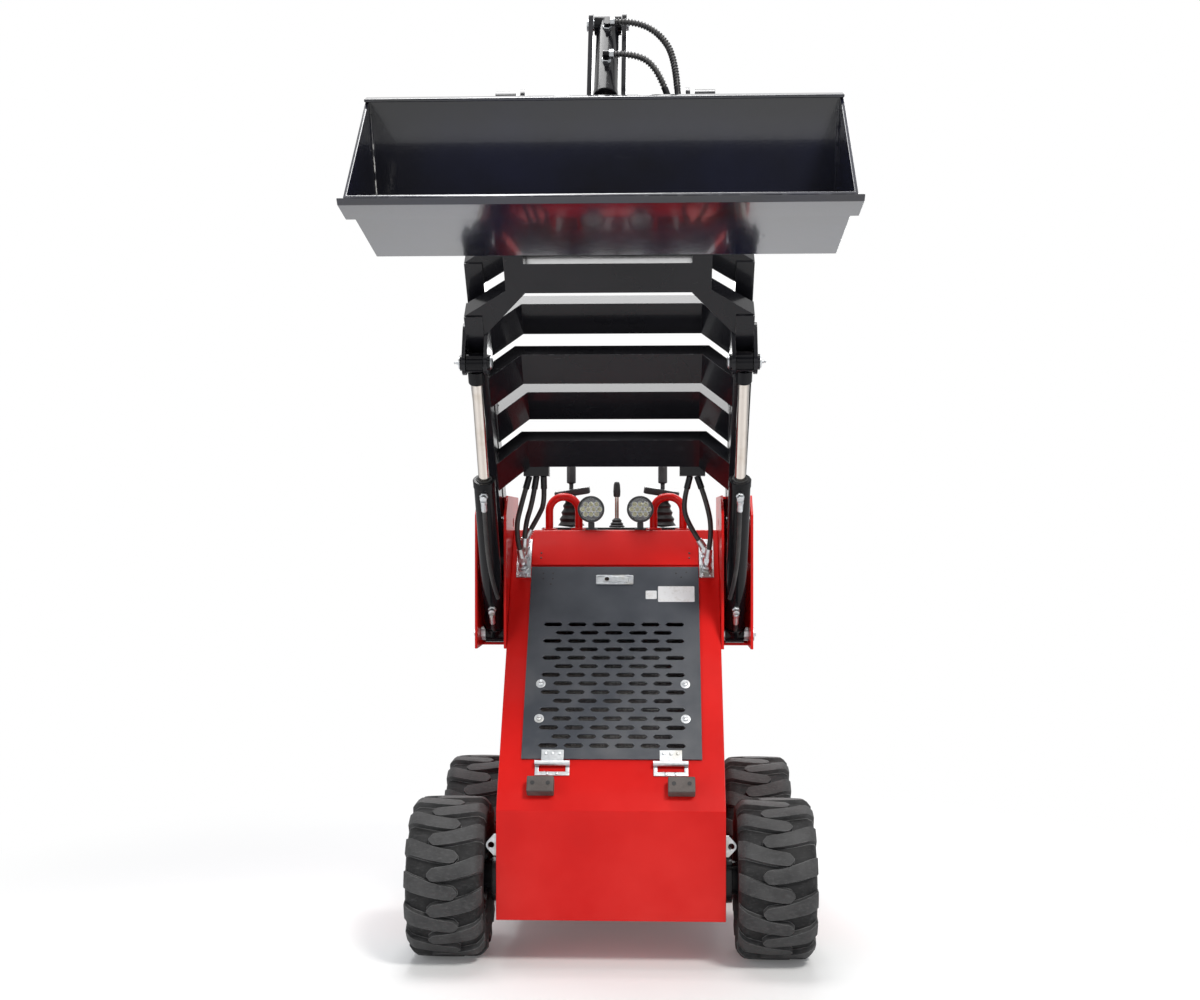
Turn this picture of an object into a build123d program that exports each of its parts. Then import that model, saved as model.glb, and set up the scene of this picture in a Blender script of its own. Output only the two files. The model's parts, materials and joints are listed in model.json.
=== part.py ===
from build123d import *
import math
import os

# A wheeled stand-on mini loader, stored with its arms raised and its bucket level.
# Millimetres. X is to the right seen from the front, Y runs to the rear, Z is up.
# The origin is on the ground, in the middle of the length and the width.

os.makedirs("parts", exist_ok=True)

# Running gear
TYRE_RADIUS = 228.5        # to the tips of the lugs
TYRE_WIDTH = 220.0
TREAD_DEPTH = 16.0
LUGS_A_SIDE = 14
LUG_WIDE = 36.0
RIM_RADIUS = 103.0
WHEELBASE = 780.0
FRONT_AXLE_Y = -220.0
AXLE_RADIUS = 32.0

# Body
BODY_HALF = 324.0
TYRE_INNER_X = BODY_HALF + 33.0
BODY_BOTTOM = 135.0
BODY_FRONT_Y = -360.0
NOSE_TOP = 445.0           # where the vertical nose meets the slope
DECK_Y = 180.0             # where the slope meets the deck
DECK_Z = 1234.0
DECK_END_Y = 500.0
BODY_BACK_Y = 850.0
BODY_WALL = 6.0
SEAT = 0.3                 # gap between separate pieces that seat on each other

# Grille door and what is round it, measured up the slope from its foot
DOOR_HALF = 260.0
DOOR_FOOT = 157.6
DOOR_LENGTH = 656.0
DOOR_THICK = 6.0
BAY_MARGIN = 34.0          # the door laps the bay's opening by this much
SLOT_ROWS = 15
SLOT_LONG = 58.0
SLOT_HIGH = 14.0
SLOT_PITCH_X = 74.0
SLOT_PITCH_UP = 29.0
SLOTS_FROM = 42.0          # the lowest row above the door's foot
HINGE_X = 170.0
HINGE_RADIUS = 8.0
HINGE_HALF = 50.0
HINGE_DROP = 16.0          # the hinge line lies this far below the door's foot
COWL_LENGTH = 128.0

# Towers
TOWER_INNER_X = BODY_HALF + SEAT
TOWER_OUTER_X = TOWER_INNER_X + 95.7
TOWER_PLATE = 8.0
TOWER_BOTTOM = 876.0
TOWER_TOP = 1340.0
TOWER_FRONT_Y = -60.0
TOWER_BACK_Y = 340.0
ARM_X = TOWER_INNER_X + 44.2   # plane of the side tubes and the lift cylinders

# Lift linkage: two equal parallel links on each side
LINK_LENGTH = 1430.0
LINK_ANGLE = 47.3          # above the horizontal, as stored
LIFT_TRAVEL = 83.4         # degrees down to the lowered position
LOWER_PIVOT = (166.0, 1112.6)
LINK_RISE = 145.0          # the upper link's pivots lie straight above the lower one's
TUBE_WIDE = 50.0
TUBE_DEEP = 70.0
TUBE_END = 985.0
BAR_STATIONS = (395.0, 713.0)
BAR_LONG = 105.0
BAR_THICK = 43.0
BAR_RISE = 115.0
BAR_KNEE = ARM_X - 88.5
FRAME_DEEP = 60.0
LEG_OUTER = ARM_X - 93.5
LEG_INNER = LEG_OUTER - 52.5
BEAM_WIDE = 92.0
BEAM_FROM = 1000.0         # the upper link's crossbeam
BEAM_AHEAD = 58.0          # and how much further ahead the lower link has its own
PIN_RADIUS = 15.0
PIN_FIT = 0.08

# Lift cylinders
CYL_FOOT = (44.0, 916.0)
CYL_STATION = 860.0        # the rod's pin along the lower link
CYL_DROP = 72.0            # and below its centre line
CLEVIS_PLATE = 10.0
LIFT_BARREL_R = 31.0
LIFT_BORE_R = 25.0
LIFT_BARREL = 558.0
LIFT_ROD_R = 16.0

# Bucket
BUCKET_HALF = 575.0
EDGE_HALF = 590.0
BUCKET_EDGE = (-1238.0, 1983.0)
BUCKET_HEEL = (-805.0, 1922.0)
BUCKET_LIP = (-963.0, 2287.0)
BUCKET_PLATE = 8.0
EDGE_PLATE = 12.0
EDGE_DEEP = 110.0
HEEL_RADIUS = 14.0

# Quick attach, mast and tilt cylinder; along and behind the bucket's back from its heel
TILT_PIVOT = (72.0, 80.0)
ROD_LUG = (316.0, 65.0)
TILT_RANGE = (-10.0, 50.0)
ATTACH_PLATE = 12.0
MAST_X = LEG_INNER - 16.5
ATTACH_HALF = MAST_X - 16.0
MAST_PLATE = 12.0
HORN_END = (-600.0, 2575.0)
HORN_X = 44.0
TILT_BARREL_R = 30.0
TILT_BORE_R = 24.0
TILT_BARREL = 322.0
TILT_ROD_R = 15.0

# Tie-down lugs beside the nose
TIE_DOWN_PLACE = (BODY_HALF + 15.5, 344.0)
TIE_DOWN_OUTER = 15.0
TIE_DOWN_HOLE = 9.0
TIE_DOWN_Y = -345.0
TIE_DOWN_THICK = 10.0

# Hydraulic hoses
HOSE_RADIUS = 8.0
TILT_HOSE_RADIUS = 6.5
CRIMP_LONG = 45.0
BULKHEAD_X = BODY_HALF - 39.0
BULKHEAD_LONG = 142.0
BULKHEAD_FOOT = 180.0      # the plates' foot, down the slope from its top
FITTING_UPS = (30.0, 72.0, 114.0)
FITTING_REACH = 38.0
HOSE_BLOCK_Z = 1400.0      # the underside of the blocks behind the lower crossbar
HOSE_BLOCK_BACK = 55.0
TILT_PORTS = (60.0, 205.0)
PORT_REACH = 50.0
TILT_BLOCK_Z = 2338.0

# Rear platform
PLATFORM_BACK_Y = -BUCKET_EDGE[0]
PLATFORM_Z = 250.0
PLATFORM_HALF = 270.0
PLATFORM_THICK = 40.0


def save(name, shape):
    export_step(shape, f"parts/{name}.step")


def prism(points, x0, x1):
    """A side view outline, given as (y, z), made solid from x0 to x1."""
    face = Plane.YZ.offset(x0) * make_face(Polyline(*points, close=True))
    return extrude(face, x1 - x0, dir=(1, 0, 0))


def block(x, y, z):
    """A block between two values of x, of y and of z."""
    sizes = [b - a for a, b in (x, y, z)]
    return Pos(x[0], y[0], z[0]) * Box(*sizes, align=(Align.MIN, Align.MIN, Align.MIN))


def cross_rod(x0, x1, place, radius):
    """A round bar along X through a place in the side view."""
    plane = Plane.YZ.offset(x0) * Pos(place[0], place[1])
    return extrude(plane * Circle(radius), x1 - x0, dir=(1, 0, 0))


def hull_plate(circles, x0, x1):
    """A plate whose outline wraps round circles, given as ((y, z), radius)."""
    rings = Sketch() + [Pos(*place) * Circle(radius) for place, radius in circles]
    return extrude(Plane.YZ.offset(x0) * make_hull(rings.edges()), x1 - x0, dir=(1, 0, 0))


def rod_between(x, start, end, radius, reach=None):
    """A round bar in a plane of constant x, from start towards end."""
    run = (0, end[0] - start[0], end[1] - start[1])
    plane = Plane(origin=(x, start[0], start[1]), z_dir=run)
    length = math.dist(start, end) if reach is None else reach
    return plane * Cylinder(radius, length, align=(Align.CENTER, Align.CENTER, Align.MIN))


def bar(start, end, radius):
    """A round bar between two points."""
    run = Vector(*end) - Vector(*start)
    plane = Plane(origin=start, z_dir=run)
    return plane * Cylinder(radius, run.length, align=(Align.CENTER, Align.CENTER, Align.MIN))


def both(shape):
    """A shape and its mirror image on the other side."""
    return shape + mirror(shape, Plane.YZ)


def beside(place, direction, distance):
    return (place[0] + direction[0] * distance, place[1] + direction[1] * distance)


# The slope's own frame: x across, y up the slope, z out of it
SLOPE_RUN = (DECK_Y - BODY_FRONT_Y, DECK_Z - NOSE_TOP)
SLOPE_LENGTH = math.hypot(*SLOPE_RUN)
SLOPE_UP = (SLOPE_RUN[0] / SLOPE_LENGTH, SLOPE_RUN[1] / SLOPE_LENGTH)
SLOPE_OUT = (-SLOPE_UP[1], SLOPE_UP[0])
SLOPE = Plane(
    origin=(0, BODY_FRONT_Y, NOSE_TOP), x_dir=(1, 0, 0), z_dir=(0, SLOPE_OUT[0], SLOPE_OUT[1])
)


def slope_point(up, out):
    """The side view place of a point up the slope and out of it."""
    return beside(beside((BODY_FRONT_Y, NOSE_TOP), SLOPE_UP, up), SLOPE_OUT, out)


def on_slope(x, up, out):
    """A block in the slope's own frame."""
    sizes = [b - a for a, b in (x, up, out)]
    made = Pos(x[0], up[0], out[0]) * Box(*sizes, align=(Align.MIN, Align.MIN, Align.MIN))
    return SLOPE * made


# The links' own frame: along a link from its pivot, and square to it, up and back
ANGLE = math.radians(LINK_ANGLE)
ALONG = (-math.cos(ANGLE), math.sin(ANGLE))
ABOVE = (math.sin(ANGLE), math.cos(ANGLE))
UPPER_PIVOT = (LOWER_PIVOT[0], LOWER_PIVOT[1] + LINK_RISE)


def link_point(pivot, along, above):
    return beside(beside(pivot, ALONG, along), ABOVE, above)


LOWER_END = link_point(LOWER_PIVOT, LINK_LENGTH, 0)
UPPER_END = link_point(UPPER_PIVOT, LINK_LENGTH, 0)
ROD_PIN = link_point(LOWER_PIVOT, CYL_STATION, -CYL_DROP)

# The bucket's back: up along it from the heel, and square to it, backwards
BACK_LENGTH = math.dist(BUCKET_HEEL, BUCKET_LIP)
BACK_UP = (
    (BUCKET_LIP[0] - BUCKET_HEEL[0]) / BACK_LENGTH,
    (BUCKET_LIP[1] - BUCKET_HEEL[1]) / BACK_LENGTH,
)
BACK_OUT = (BACK_UP[1], -BACK_UP[0])


def back_point(up, out):
    return beside(beside(BUCKET_HEEL, BACK_UP, up), BACK_OUT, out)


# The bucket's floor: back along it from the cutting edge, and square to it, upwards
FLOOR_LENGTH = math.dist(BUCKET_EDGE, BUCKET_HEEL)
FLOOR_RUN = (
    (BUCKET_HEEL[0] - BUCKET_EDGE[0]) / FLOOR_LENGTH,
    (BUCKET_HEEL[1] - BUCKET_EDGE[1]) / FLOOR_LENGTH,
)
FLOOR_UP = (-FLOOR_RUN[1], FLOOR_RUN[0])
MOUTH_OUT = (-0.74, 0.67)
MOUTH_CUT = 60.0

TILT_PIN = back_point(*TILT_PIVOT)
LUG_PIN = back_point(*ROD_LUG)


def body_outline():
    return [
        (BODY_FRONT_Y, BODY_BOTTOM),
        (BODY_FRONT_Y, NOSE_TOP),
        (DECK_Y, DECK_Z),
        (DECK_END_Y, DECK_Z),
        (DECK_END_Y + 120.0, DECK_Z - 170.0),
        (DECK_END_Y + 160.0, DECK_Z - 520.0),
        (BODY_BACK_Y, DECK_Z - 620.0),
        (BODY_BACK_Y, BODY_BOTTOM),
    ]


def chassis():
    """The red body: a welded shell with the bay's opening in its slope."""
    outline = make_face(Polyline(*body_outline(), close=True))
    outer = extrude(Plane.YZ.offset(-BODY_HALF) * outline, 2 * BODY_HALF, dir=(1, 0, 0))
    inset = offset(outline, -BODY_WALL, kind=Kind.INTERSECTION)
    inner_half = BODY_HALF - BODY_WALL
    inner = extrude(Plane.YZ.offset(-inner_half) * inset, 2 * inner_half, dir=(1, 0, 0))
    bay = on_slope(
        (-DOOR_HALF + BAY_MARGIN, DOOR_HALF - BAY_MARGIN),
        (DOOR_FOOT + BAY_MARGIN, DOOR_FOOT + DOOR_LENGTH - BAY_MARGIN),
        (-3 * BODY_WALL, BODY_WALL),
    )
    return outer - inner - bay


def slots():
    """Staggered rows of long slots with pointed ends, six and five to a row."""
    half, high, point = SLOT_LONG / 2, SLOT_HIGH / 2, SLOT_HIGH / 2
    outline = [(-half, 0), (-half + point, high), (half - point, high)]
    outline += [(half, 0), (half - point, -high), (-half + point, -high)]
    slot = make_face(Polyline(*outline, close=True))
    places = []
    for row in range(SLOT_ROWS):
        count = 6 - row % 2
        up = DOOR_FOOT + SLOTS_FROM + row * SLOT_PITCH_UP
        places += [(SLOT_PITCH_X * (n - (count - 1) / 2), up) for n in range(count)]
    cut = Sketch() + [Pos(x, up) * slot for x, up in places]
    return extrude(SLOPE * cut, DOOR_THICK + 2 * BODY_WALL, both=True)


def door():
    plate = on_slope(
        (-DOOR_HALF, DOOR_HALF),
        (DOOR_FOOT, DOOR_FOOT + DOOR_LENGTH),
        (SEAT, SEAT + DOOR_THICK),
    )
    return plate - slots()


HINGE_LINE = slope_point(DOOR_FOOT - HINGE_DROP, SEAT + DOOR_THICK / 2 + HINGE_RADIUS)


def facet_ring(stations):
    """A ring of flats along X, one flat to each lug, given as (x, distance of the flats)."""
    flats = 2 * LUGS_A_SIDE
    half_turn = 180.0 / flats
    rings = []
    for x, reach in stations:
        plane = Plane(origin=(x, 0, 0), x_dir=(0, 1, 0), z_dir=(1, 0, 0))
        ring = RegularPolygon(reach, flats, major_radius=False)
        rings.append(plane * Rot(0, 0, half_turn) * ring)
    return loft(rings, ruled=True)


def tyre_solid():
    """One tyre on the X axis, its middle at x = 0: a faceted carcass and its bent lugs."""
    base = TYRE_RADIUS - TREAD_DEPTH
    half = TYRE_WIDTH / 2
    seat = RIM_RADIUS + SEAT
    carcass = facet_ring([
        (-half * 0.86, seat + 12.0), (-half, base - 46.0), (-half * 0.76, base),
        (half * 0.76, base), (half, base - 46.0), (half * 0.86, seat + 12.0),
    ])
    envelope = facet_ring([
        (-half + 1, TYRE_RADIUS - 24.0), (-half * 0.76, TYRE_RADIUS),
        (half * 0.76, TYRE_RADIUS), (half - 1, TYRE_RADIUS - 24.0),
    ])
    # Seen from outside, (along the axle, round the tyre) from the shoulder past the middle
    wide = LUG_WIDE / 2
    lug = make_face(Polyline(
        (-half, 58.0), (half * 0.36, wide), (half * 0.36, -wide), (-half * 0.48, -wide),
        (-half, 20.0), close=True))
    bars = []
    for n in range(2 * LUGS_A_SIDE):
        plane = Plane(origin=(0, 0, base - 12.0), x_dir=(1, 0, 0), z_dir=(0, 0, 1))
        outline = lug if n % 2 else mirror(lug, Plane.YZ)
        solid = extrude(plane * outline, TREAD_DEPTH + 30.0, dir=(0, 0, 1))
        bars.append(Rot(n * 180.0 / LUGS_A_SIDE, 0, 0) * solid)
    bore = facet_ring([(-half, seat), (half, seat)])
    return carcass + (Part() + bars & envelope) - bore


def rim_solid():
    """One pressed rim on the X axis with its dish towards +x."""
    half = TYRE_WIDTH / 2 * 0.86
    drop = RIM_RADIUS - 16.0
    disc = (half * 0.06, half * 0.16)
    outline = [
        (-half, RIM_RADIUS), (half, RIM_RADIUS), (half, RIM_RADIUS - 6.0), (half * 0.5, drop),
        (disc[1] + 8.0, drop), (disc[1], 62.0), (disc[1], AXLE_RADIUS + PIN_FIT),
        (disc[0], AXLE_RADIUS + PIN_FIT), (disc[0], 62.0), (disc[0] + 4.0, drop),
        (-half * 0.5, drop), (-half, RIM_RADIUS - 6.0),
    ]
    return revolve(make_face(Polyline(*outline, close=True)), Axis.X)


def tower():
    """The right tower: a channel open to the front, its inner plate on the body's side."""
    outer = (TOWER_OUTER_X - TOWER_PLATE, TOWER_OUTER_X)
    inner = (TOWER_INNER_X, TOWER_INNER_X + TOWER_PLATE)
    back = (TOWER_BACK_Y - TOWER_PLATE, TOWER_BACK_Y)
    sheet = [
        (TOWER_FRONT_Y, TOWER_BOTTOM), (TOWER_FRONT_Y, TOWER_TOP - 60.0),
        (TOWER_FRONT_Y + 60.0, TOWER_TOP), (TOWER_BACK_Y, TOWER_TOP), (TOWER_BACK_Y, TOWER_BOTTOM),
    ]
    made = prism(sheet, *outer) + prism(sheet, *inner)
    made += block((inner[0], outer[1]), back, (TOWER_BOTTOM, TOWER_TOP))
    made += block(
        (inner[0], outer[1]), (LOWER_PIVOT[0] + 10.0, TOWER_BACK_Y),
        (TOWER_TOP - TOWER_PLATE, TOWER_TOP),
    )
    made += block(
        (inner[0], outer[1]), (CYL_FOOT[0] + 46.0, TOWER_BACK_Y),
        (TOWER_BOTTOM, TOWER_BOTTOM + TOWER_PLATE),
    )
    for place in (LOWER_PIVOT, UPPER_PIVOT, CYL_FOOT):
        made -= cross_rod(inner[0] - 1, outer[1] + 1, place, PIN_RADIUS + PIN_FIT)
    return made


def tower_pins():
    """The right tower's three pins, with a round head outside and spacers inside."""
    made = Part()
    inside = TOWER_INNER_X + TOWER_PLATE
    outside = TOWER_OUTER_X - TOWER_PLATE
    for place in (LOWER_PIVOT, UPPER_PIVOT, CYL_FOOT):
        half = TUBE_WIDE / 2 if place != CYL_FOOT else LIFT_BARREL_R - 3.0
        pin = cross_rod(inside - TOWER_PLATE / 2, TOWER_OUTER_X + 4, place, PIN_RADIUS)
        pin += cross_rod(TOWER_OUTER_X + SEAT, TOWER_OUTER_X + 9, place, PIN_RADIUS + 7)
        pin += cross_rod(inside + SEAT, ARM_X - half - 0.5, place, PIN_RADIUS + 6)
        pin += cross_rod(ARM_X + half + 0.5, outside - SEAT, place, PIN_RADIUS + 6)
        made += pin
    return made


def arched_bar(pivot, station):
    """A crossbar raised in its middle, that lands on both side tubes."""
    top, low = BAR_RISE + BAR_THICK / 2, BAR_RISE - BAR_THICK / 2
    landing_x = ARM_X - TUBE_WIDE / 2 + 16.0
    lean = (top - TUBE_DEEP / 2 + 2.0) / (landing_x - BAR_KNEE)
    across = BAR_THICK * math.hypot(1, lean) / lean
    inner_knee = BAR_KNEE + BAR_THICK / lean - across
    inner_x = ARM_X - TUBE_WIDE / 2 + 3.0
    half = [(BAR_KNEE, top), (landing_x, TUBE_DEEP / 2 - 2.0)]
    half += [(inner_x, low - (inner_x - inner_knee) * lean), (inner_knee, low)]
    outline = half + [(-x, e) for x, e in reversed(half)]
    start = link_point(pivot, station - BAR_LONG / 2, 0)
    plane = Plane(origin=(0, *start), x_dir=(1, 0, 0), z_dir=(0, *ALONG))
    return extrude(plane * make_face(Polyline(*outline, close=True)), BAR_LONG, dir=(0, *ALONG))


def front_frame(pivot):
    """The flat frame ahead of the side tubes: diagonals, crossbeam and two inner legs."""
    outer_x, inner_x = ARM_X + TUBE_WIDE / 2, ARM_X - TUBE_WIDE / 2
    beam = BEAM_FROM + (BEAM_AHEAD if pivot == LOWER_PIVOT else 0.0)
    half = [
        (LEG_OUTER, LINK_LENGTH), (LEG_OUTER, TUBE_END + 81.0), (outer_x, TUBE_END),
        (outer_x, CYL_STATION + 10.0), (inner_x, CYL_STATION + 10.0), (inner_x, 918.0),
        (LEG_INNER, beam), (0, beam), (0, beam + BEAM_WIDE), (LEG_INNER, beam + BEAM_WIDE),
        (LEG_INNER, LINK_LENGTH),
    ]
    start = link_point(pivot, 0, -FRAME_DEEP / 2)
    plane = Plane(origin=(0, *start), x_dir=(1, 0, 0), z_dir=(0, *ABOVE))
    # On this plane a point further along the link has a lower second value
    outline = [(x, -s) for x, s in half]
    made = extrude(plane * make_face(Polyline(*outline, close=True)), FRAME_DEEP, dir=(0, *ABOVE))
    return both(made)


def link(pivot):
    """Both side tubes with their bosses, the crossbars and the front frame."""
    end = link_point(pivot, LINK_LENGTH, 0)
    tube_in, tube_out = ARM_X - TUBE_WIDE / 2, ARM_X + TUBE_WIDE / 2
    corners = ((0, -1), (0, 1), (TUBE_END, 1), (TUBE_END, -1))
    outline = [link_point(pivot, s, side * TUBE_DEEP / 2) for s, side in corners]
    tube = prism(outline, tube_in, tube_out)
    tube += cross_rod(tube_in, tube_out, pivot, TUBE_DEEP / 2 + 4)
    tube -= cross_rod(tube_in - 1, tube_out + 1, pivot, PIN_RADIUS + PIN_FIT)
    frame = front_frame(pivot)
    frame += both(cross_rod(LEG_INNER, LEG_OUTER, end, FRAME_DEEP / 2 + 4))
    frame -= both(cross_rod(LEG_INNER - 1, LEG_OUTER + 1, end, PIN_RADIUS + PIN_FIT))
    made = both(tube) + frame
    for station in BAR_STATIONS:
        made += arched_bar(pivot, station)
    return made


def clevis():
    """The right pair of plates under the lower link that take the lift rod's eye."""
    tube_in, tube_out = ARM_X - TUBE_WIDE / 2, ARM_X + TUBE_WIDE / 2
    root = link_point(LOWER_PIVOT, CYL_STATION, 0)
    made = Part()
    for x0 in (tube_in - CLEVIS_PLATE, tube_out):
        made += hull_plate([(ROD_PIN, 34.0), (beside(root, ALONG, -26), 34.0),
                            (beside(root, ALONG, 40), 34.0)], x0, x0 + CLEVIS_PLATE)
    made += cross_rod(tube_out + CLEVIS_PLATE, tube_out + CLEVIS_PLATE + 7, ROD_PIN, 22)
    made += cross_rod(tube_in - CLEVIS_PLATE - 7, tube_in - CLEVIS_PLATE, ROD_PIN, 22)
    return made


def cylinder_barrel(x, foot, head, boss_half, radius, bore, length):
    """A cylinder's barrel with its foot boss and gland, its bore open at the head."""
    made = rod_between(x, foot, head, radius, length)
    made -= rod_between(x, foot, head, radius * 2, radius + 4)
    made += rod_between(x, foot, head, radius - 3, radius + 6)
    made += cross_rod(x - boss_half, x + boss_half, foot, radius - 4)
    made -= cross_rod(x - boss_half - 1, x + boss_half + 1, foot, PIN_RADIUS + PIN_FIT)
    run = ((head[0] - foot[0]) / math.dist(foot, head), (head[1] - foot[1]) / math.dist(foot, head))
    cavity = rod_between(x, beside(foot, run, radius + 16), head, bore, length - radius - 46)
    return made - cavity


def cylinder_rod(x, foot, head, barrel_length, radius, eye_radius, eye_half):
    """A cylinder's rod with its eye and the pin that fills it."""
    whole = math.dist(foot, head)
    run = ((head[0] - foot[0]) / whole, (head[1] - foot[1]) / whole)
    inner = beside(foot, run, barrel_length - 62)
    made = rod_between(x, inner, head, radius, whole - barrel_length + 62)
    return made + cross_rod(x - eye_half, x + eye_half, head, eye_radius)


def gland_bore(x, foot, head, length, radius):
    run = ((head[0] - foot[0]) / math.dist(foot, head), (head[1] - foot[1]) / math.dist(foot, head))
    return rod_between(x, beside(foot, run, length - 40), head, radius + PIN_FIT, 60)


def bucket_shell():
    """Bent floor and back, side plates and the small folded lip."""
    lip_end = beside(BUCKET_LIP, (-0.92, -0.39), 34.0)
    sides = make_face(Polyline(BUCKET_EDGE, BUCKET_HEEL, BUCKET_LIP, close=True))
    heel = sides.vertices().sort_by_distance(BUCKET_HEEL)[0]
    sides = fillet(heel, HEEL_RADIUS)
    inside = offset(sides, -BUCKET_PLATE, kind=Kind.INTERSECTION)
    half_in = BUCKET_HALF - BUCKET_PLATE
    solid = extrude(Plane.YZ.offset(-BUCKET_HALF) * sides, 2 * BUCKET_HALF, dir=(1, 0, 0))
    hollow = extrude(Plane.YZ.offset(-half_in) * inside, 2 * half_in, dir=(1, 0, 0))
    # The mouth is open: everything between the side plates ahead of the inner faces
    edge_in, lip_in = inside_corner(BUCKET_EDGE), inside_corner(BUCKET_LIP)
    mouth = prism(
        [edge_in, beside(edge_in, FLOOR_RUN, MOUTH_CUT), beside(lip_in, BACK_UP, -MOUTH_CUT),
         lip_in, beside(lip_in, MOUTH_OUT, MOUTH_CUT), beside(edge_in, MOUTH_OUT, MOUTH_CUT)],
        -half_in, half_in,
    )
    lip = prism(
        [BUCKET_LIP, beside(BUCKET_LIP, BACK_UP, -BUCKET_PLATE),
         beside(lip_end, BACK_UP, -BUCKET_PLATE), lip_end],
        -BUCKET_HALF, BUCKET_HALF,
    )
    return solid - hollow - mouth + lip


def inside_corner(corner):
    """A mouth corner moved to the inner face of the plate that ends there."""
    if corner == BUCKET_EDGE:
        return beside(corner, FLOOR_UP, BUCKET_PLATE)
    return beside(corner, BACK_OUT, -BUCKET_PLATE)


def cutting_edge():
    """A thicker plate under the floor's front, with ears past both sides."""
    run, down = FLOOR_RUN, (-FLOOR_UP[0], -FLOOR_UP[1])
    top = beside(BUCKET_EDGE, down, SEAT)
    outline = [
        top, beside(top, run, EDGE_DEEP), beside(beside(top, run, EDGE_DEEP), down, EDGE_PLATE),
        beside(beside(top, run, 14.0), down, EDGE_PLATE),
    ]
    return prism(outline, -EDGE_HALF, EDGE_HALF)


def quick_attach():
    """The plate on the bucket's back with its pivot ears and the tilt rod's lugs."""
    inner, outer = SEAT, SEAT + ATTACH_PLATE
    corners = ((16.0, inner), (340.0, inner), (340.0, outer), (16.0, outer))
    made = prism([back_point(up, out) for up, out in corners], -ATTACH_HALF, ATTACH_HALF)
    ear_foot = [back_point(28.0, outer), back_point(130.0, outer)]
    for x0 in (MAST_X - 56.0, MAST_X - 28.0):
        ear = hull_plate([(TILT_PIN, 30.0), (ear_foot[0], 9.0), (ear_foot[1], 9.0)], x0, x0 + 12)
        made += both(ear)
    lug_foot = [back_point(262.0, outer), back_point(332.0, outer)]
    lug = hull_plate([(LUG_PIN, 26.0), (lug_foot[0], 7.0), (lug_foot[1], 7.0)], 27.0, 38.0)
    lug += cross_rod(38.0, 45.0, LUG_PIN, 19.0)
    made += both(lug)
    made -= cross_rod(-MAST_X + 6, MAST_X - 6, TILT_PIN, PIN_RADIUS + PIN_FIT)
    # Nothing of the ears or lugs reaches into the bucket's back
    trim = [back_point(-40, SEAT), back_point(380, SEAT), back_point(380, -60), back_point(-40, -60)]
    return made - prism(trim, -EDGE_HALF, EDGE_HALF)


BRACE = beside(LOWER_END, (0.80, 0.60), 70.0)
KNEE = (BRACE[0] + 6.0, BRACE[1] + 70.0)


def mast():
    """Two outer plates with the pins, cross tubes and the horn that holds the tilt cylinder."""
    x0, x1 = MAST_X - MAST_PLATE / 2, MAST_X + MAST_PLATE / 2
    outer = hull_plate([(TILT_PIN, 30.0), (LOWER_END, 38.0)], x0, x1)
    outer += hull_plate([(LOWER_END, 38.0), (UPPER_END, 38.0)], x0, x1)
    outer += hull_plate([(LOWER_END, 34.0), (UPPER_END, 30.0), (BRACE, 30.0)], x0, x1)
    made = both(outer)
    for place, radius in ((BRACE, 22.0), (KNEE, 20.0)):
        made += cross_rod(-x0, x0, place, radius)
    horn = hull_plate([(HORN_END, 32.0), (KNEE, 34.0)], HORN_X - 6, HORN_X + 6)
    horn += hull_plate([(BRACE, 32.0), (KNEE, 34.0)], HORN_X - 6, HORN_X + 6)
    made += both(horn)
    for place in (LOWER_END, UPPER_END, TILT_PIN):
        made -= both(cross_rod(x0 - 1, x1 + 1, place, PIN_RADIUS + PIN_FIT))
    return made - cross_rod(-HORN_X - 8, HORN_X + 8, HORN_END, PIN_RADIUS + PIN_FIT)


def mast_pins():
    """Stub pins at the links' ends, the bucket's pivot pins and the horn's pin."""
    made = Part()
    for place in (LOWER_END, UPPER_END):
        pin = cross_rod(MAST_X - 15, LEG_OUTER + 3, place, PIN_RADIUS)
        pin += cross_rod(LEG_OUTER + SEAT, LEG_OUTER + 9, place, PIN_RADIUS + 7)
        pin += cross_rod(MAST_X + MAST_PLATE / 2 + SEAT, LEG_INNER - 0.5, place, PIN_RADIUS + 7)
        made += both(pin)
    pivot = cross_rod(MAST_X - 60.0, MAST_X + 10, TILT_PIN, PIN_RADIUS)
    made += both(pivot)
    made += cross_rod(-HORN_X - 12, HORN_X + 12, HORN_END, PIN_RADIUS)
    return made


def platform():
    """The step that the operator stands on, with its two side brackets."""
    deck = block(
        (-PLATFORM_HALF, PLATFORM_HALF), (BODY_BACK_Y + SEAT, PLATFORM_BACK_Y),
        (PLATFORM_Z - PLATFORM_THICK, PLATFORM_Z),
    )
    bracket = prism(
        [(BODY_BACK_Y + SEAT, PLATFORM_Z), (BODY_BACK_Y + SEAT, PLATFORM_Z + 150.0),
         (BODY_BACK_Y + 40.0, PLATFORM_Z + 150.0), (PLATFORM_BACK_Y - 40.0, PLATFORM_Z)],
        PLATFORM_HALF - 12.0, PLATFORM_HALF,
    )
    return deck + both(bracket)


def hoop(x_inner, x_outer, y, foot, top, radius):
    """A bent round tube standing on the deck like a small gate."""
    bend = 45.0
    path = FilletPolyline(
        (x_outer, y, foot), (x_outer, y, top), (x_inner, y, top), (x_inner, y, foot), radius=bend
    )
    return sweep(Plane(origin=(x_outer, y, foot), z_dir=(0, 0, 1)) * Circle(radius), path)


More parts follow.
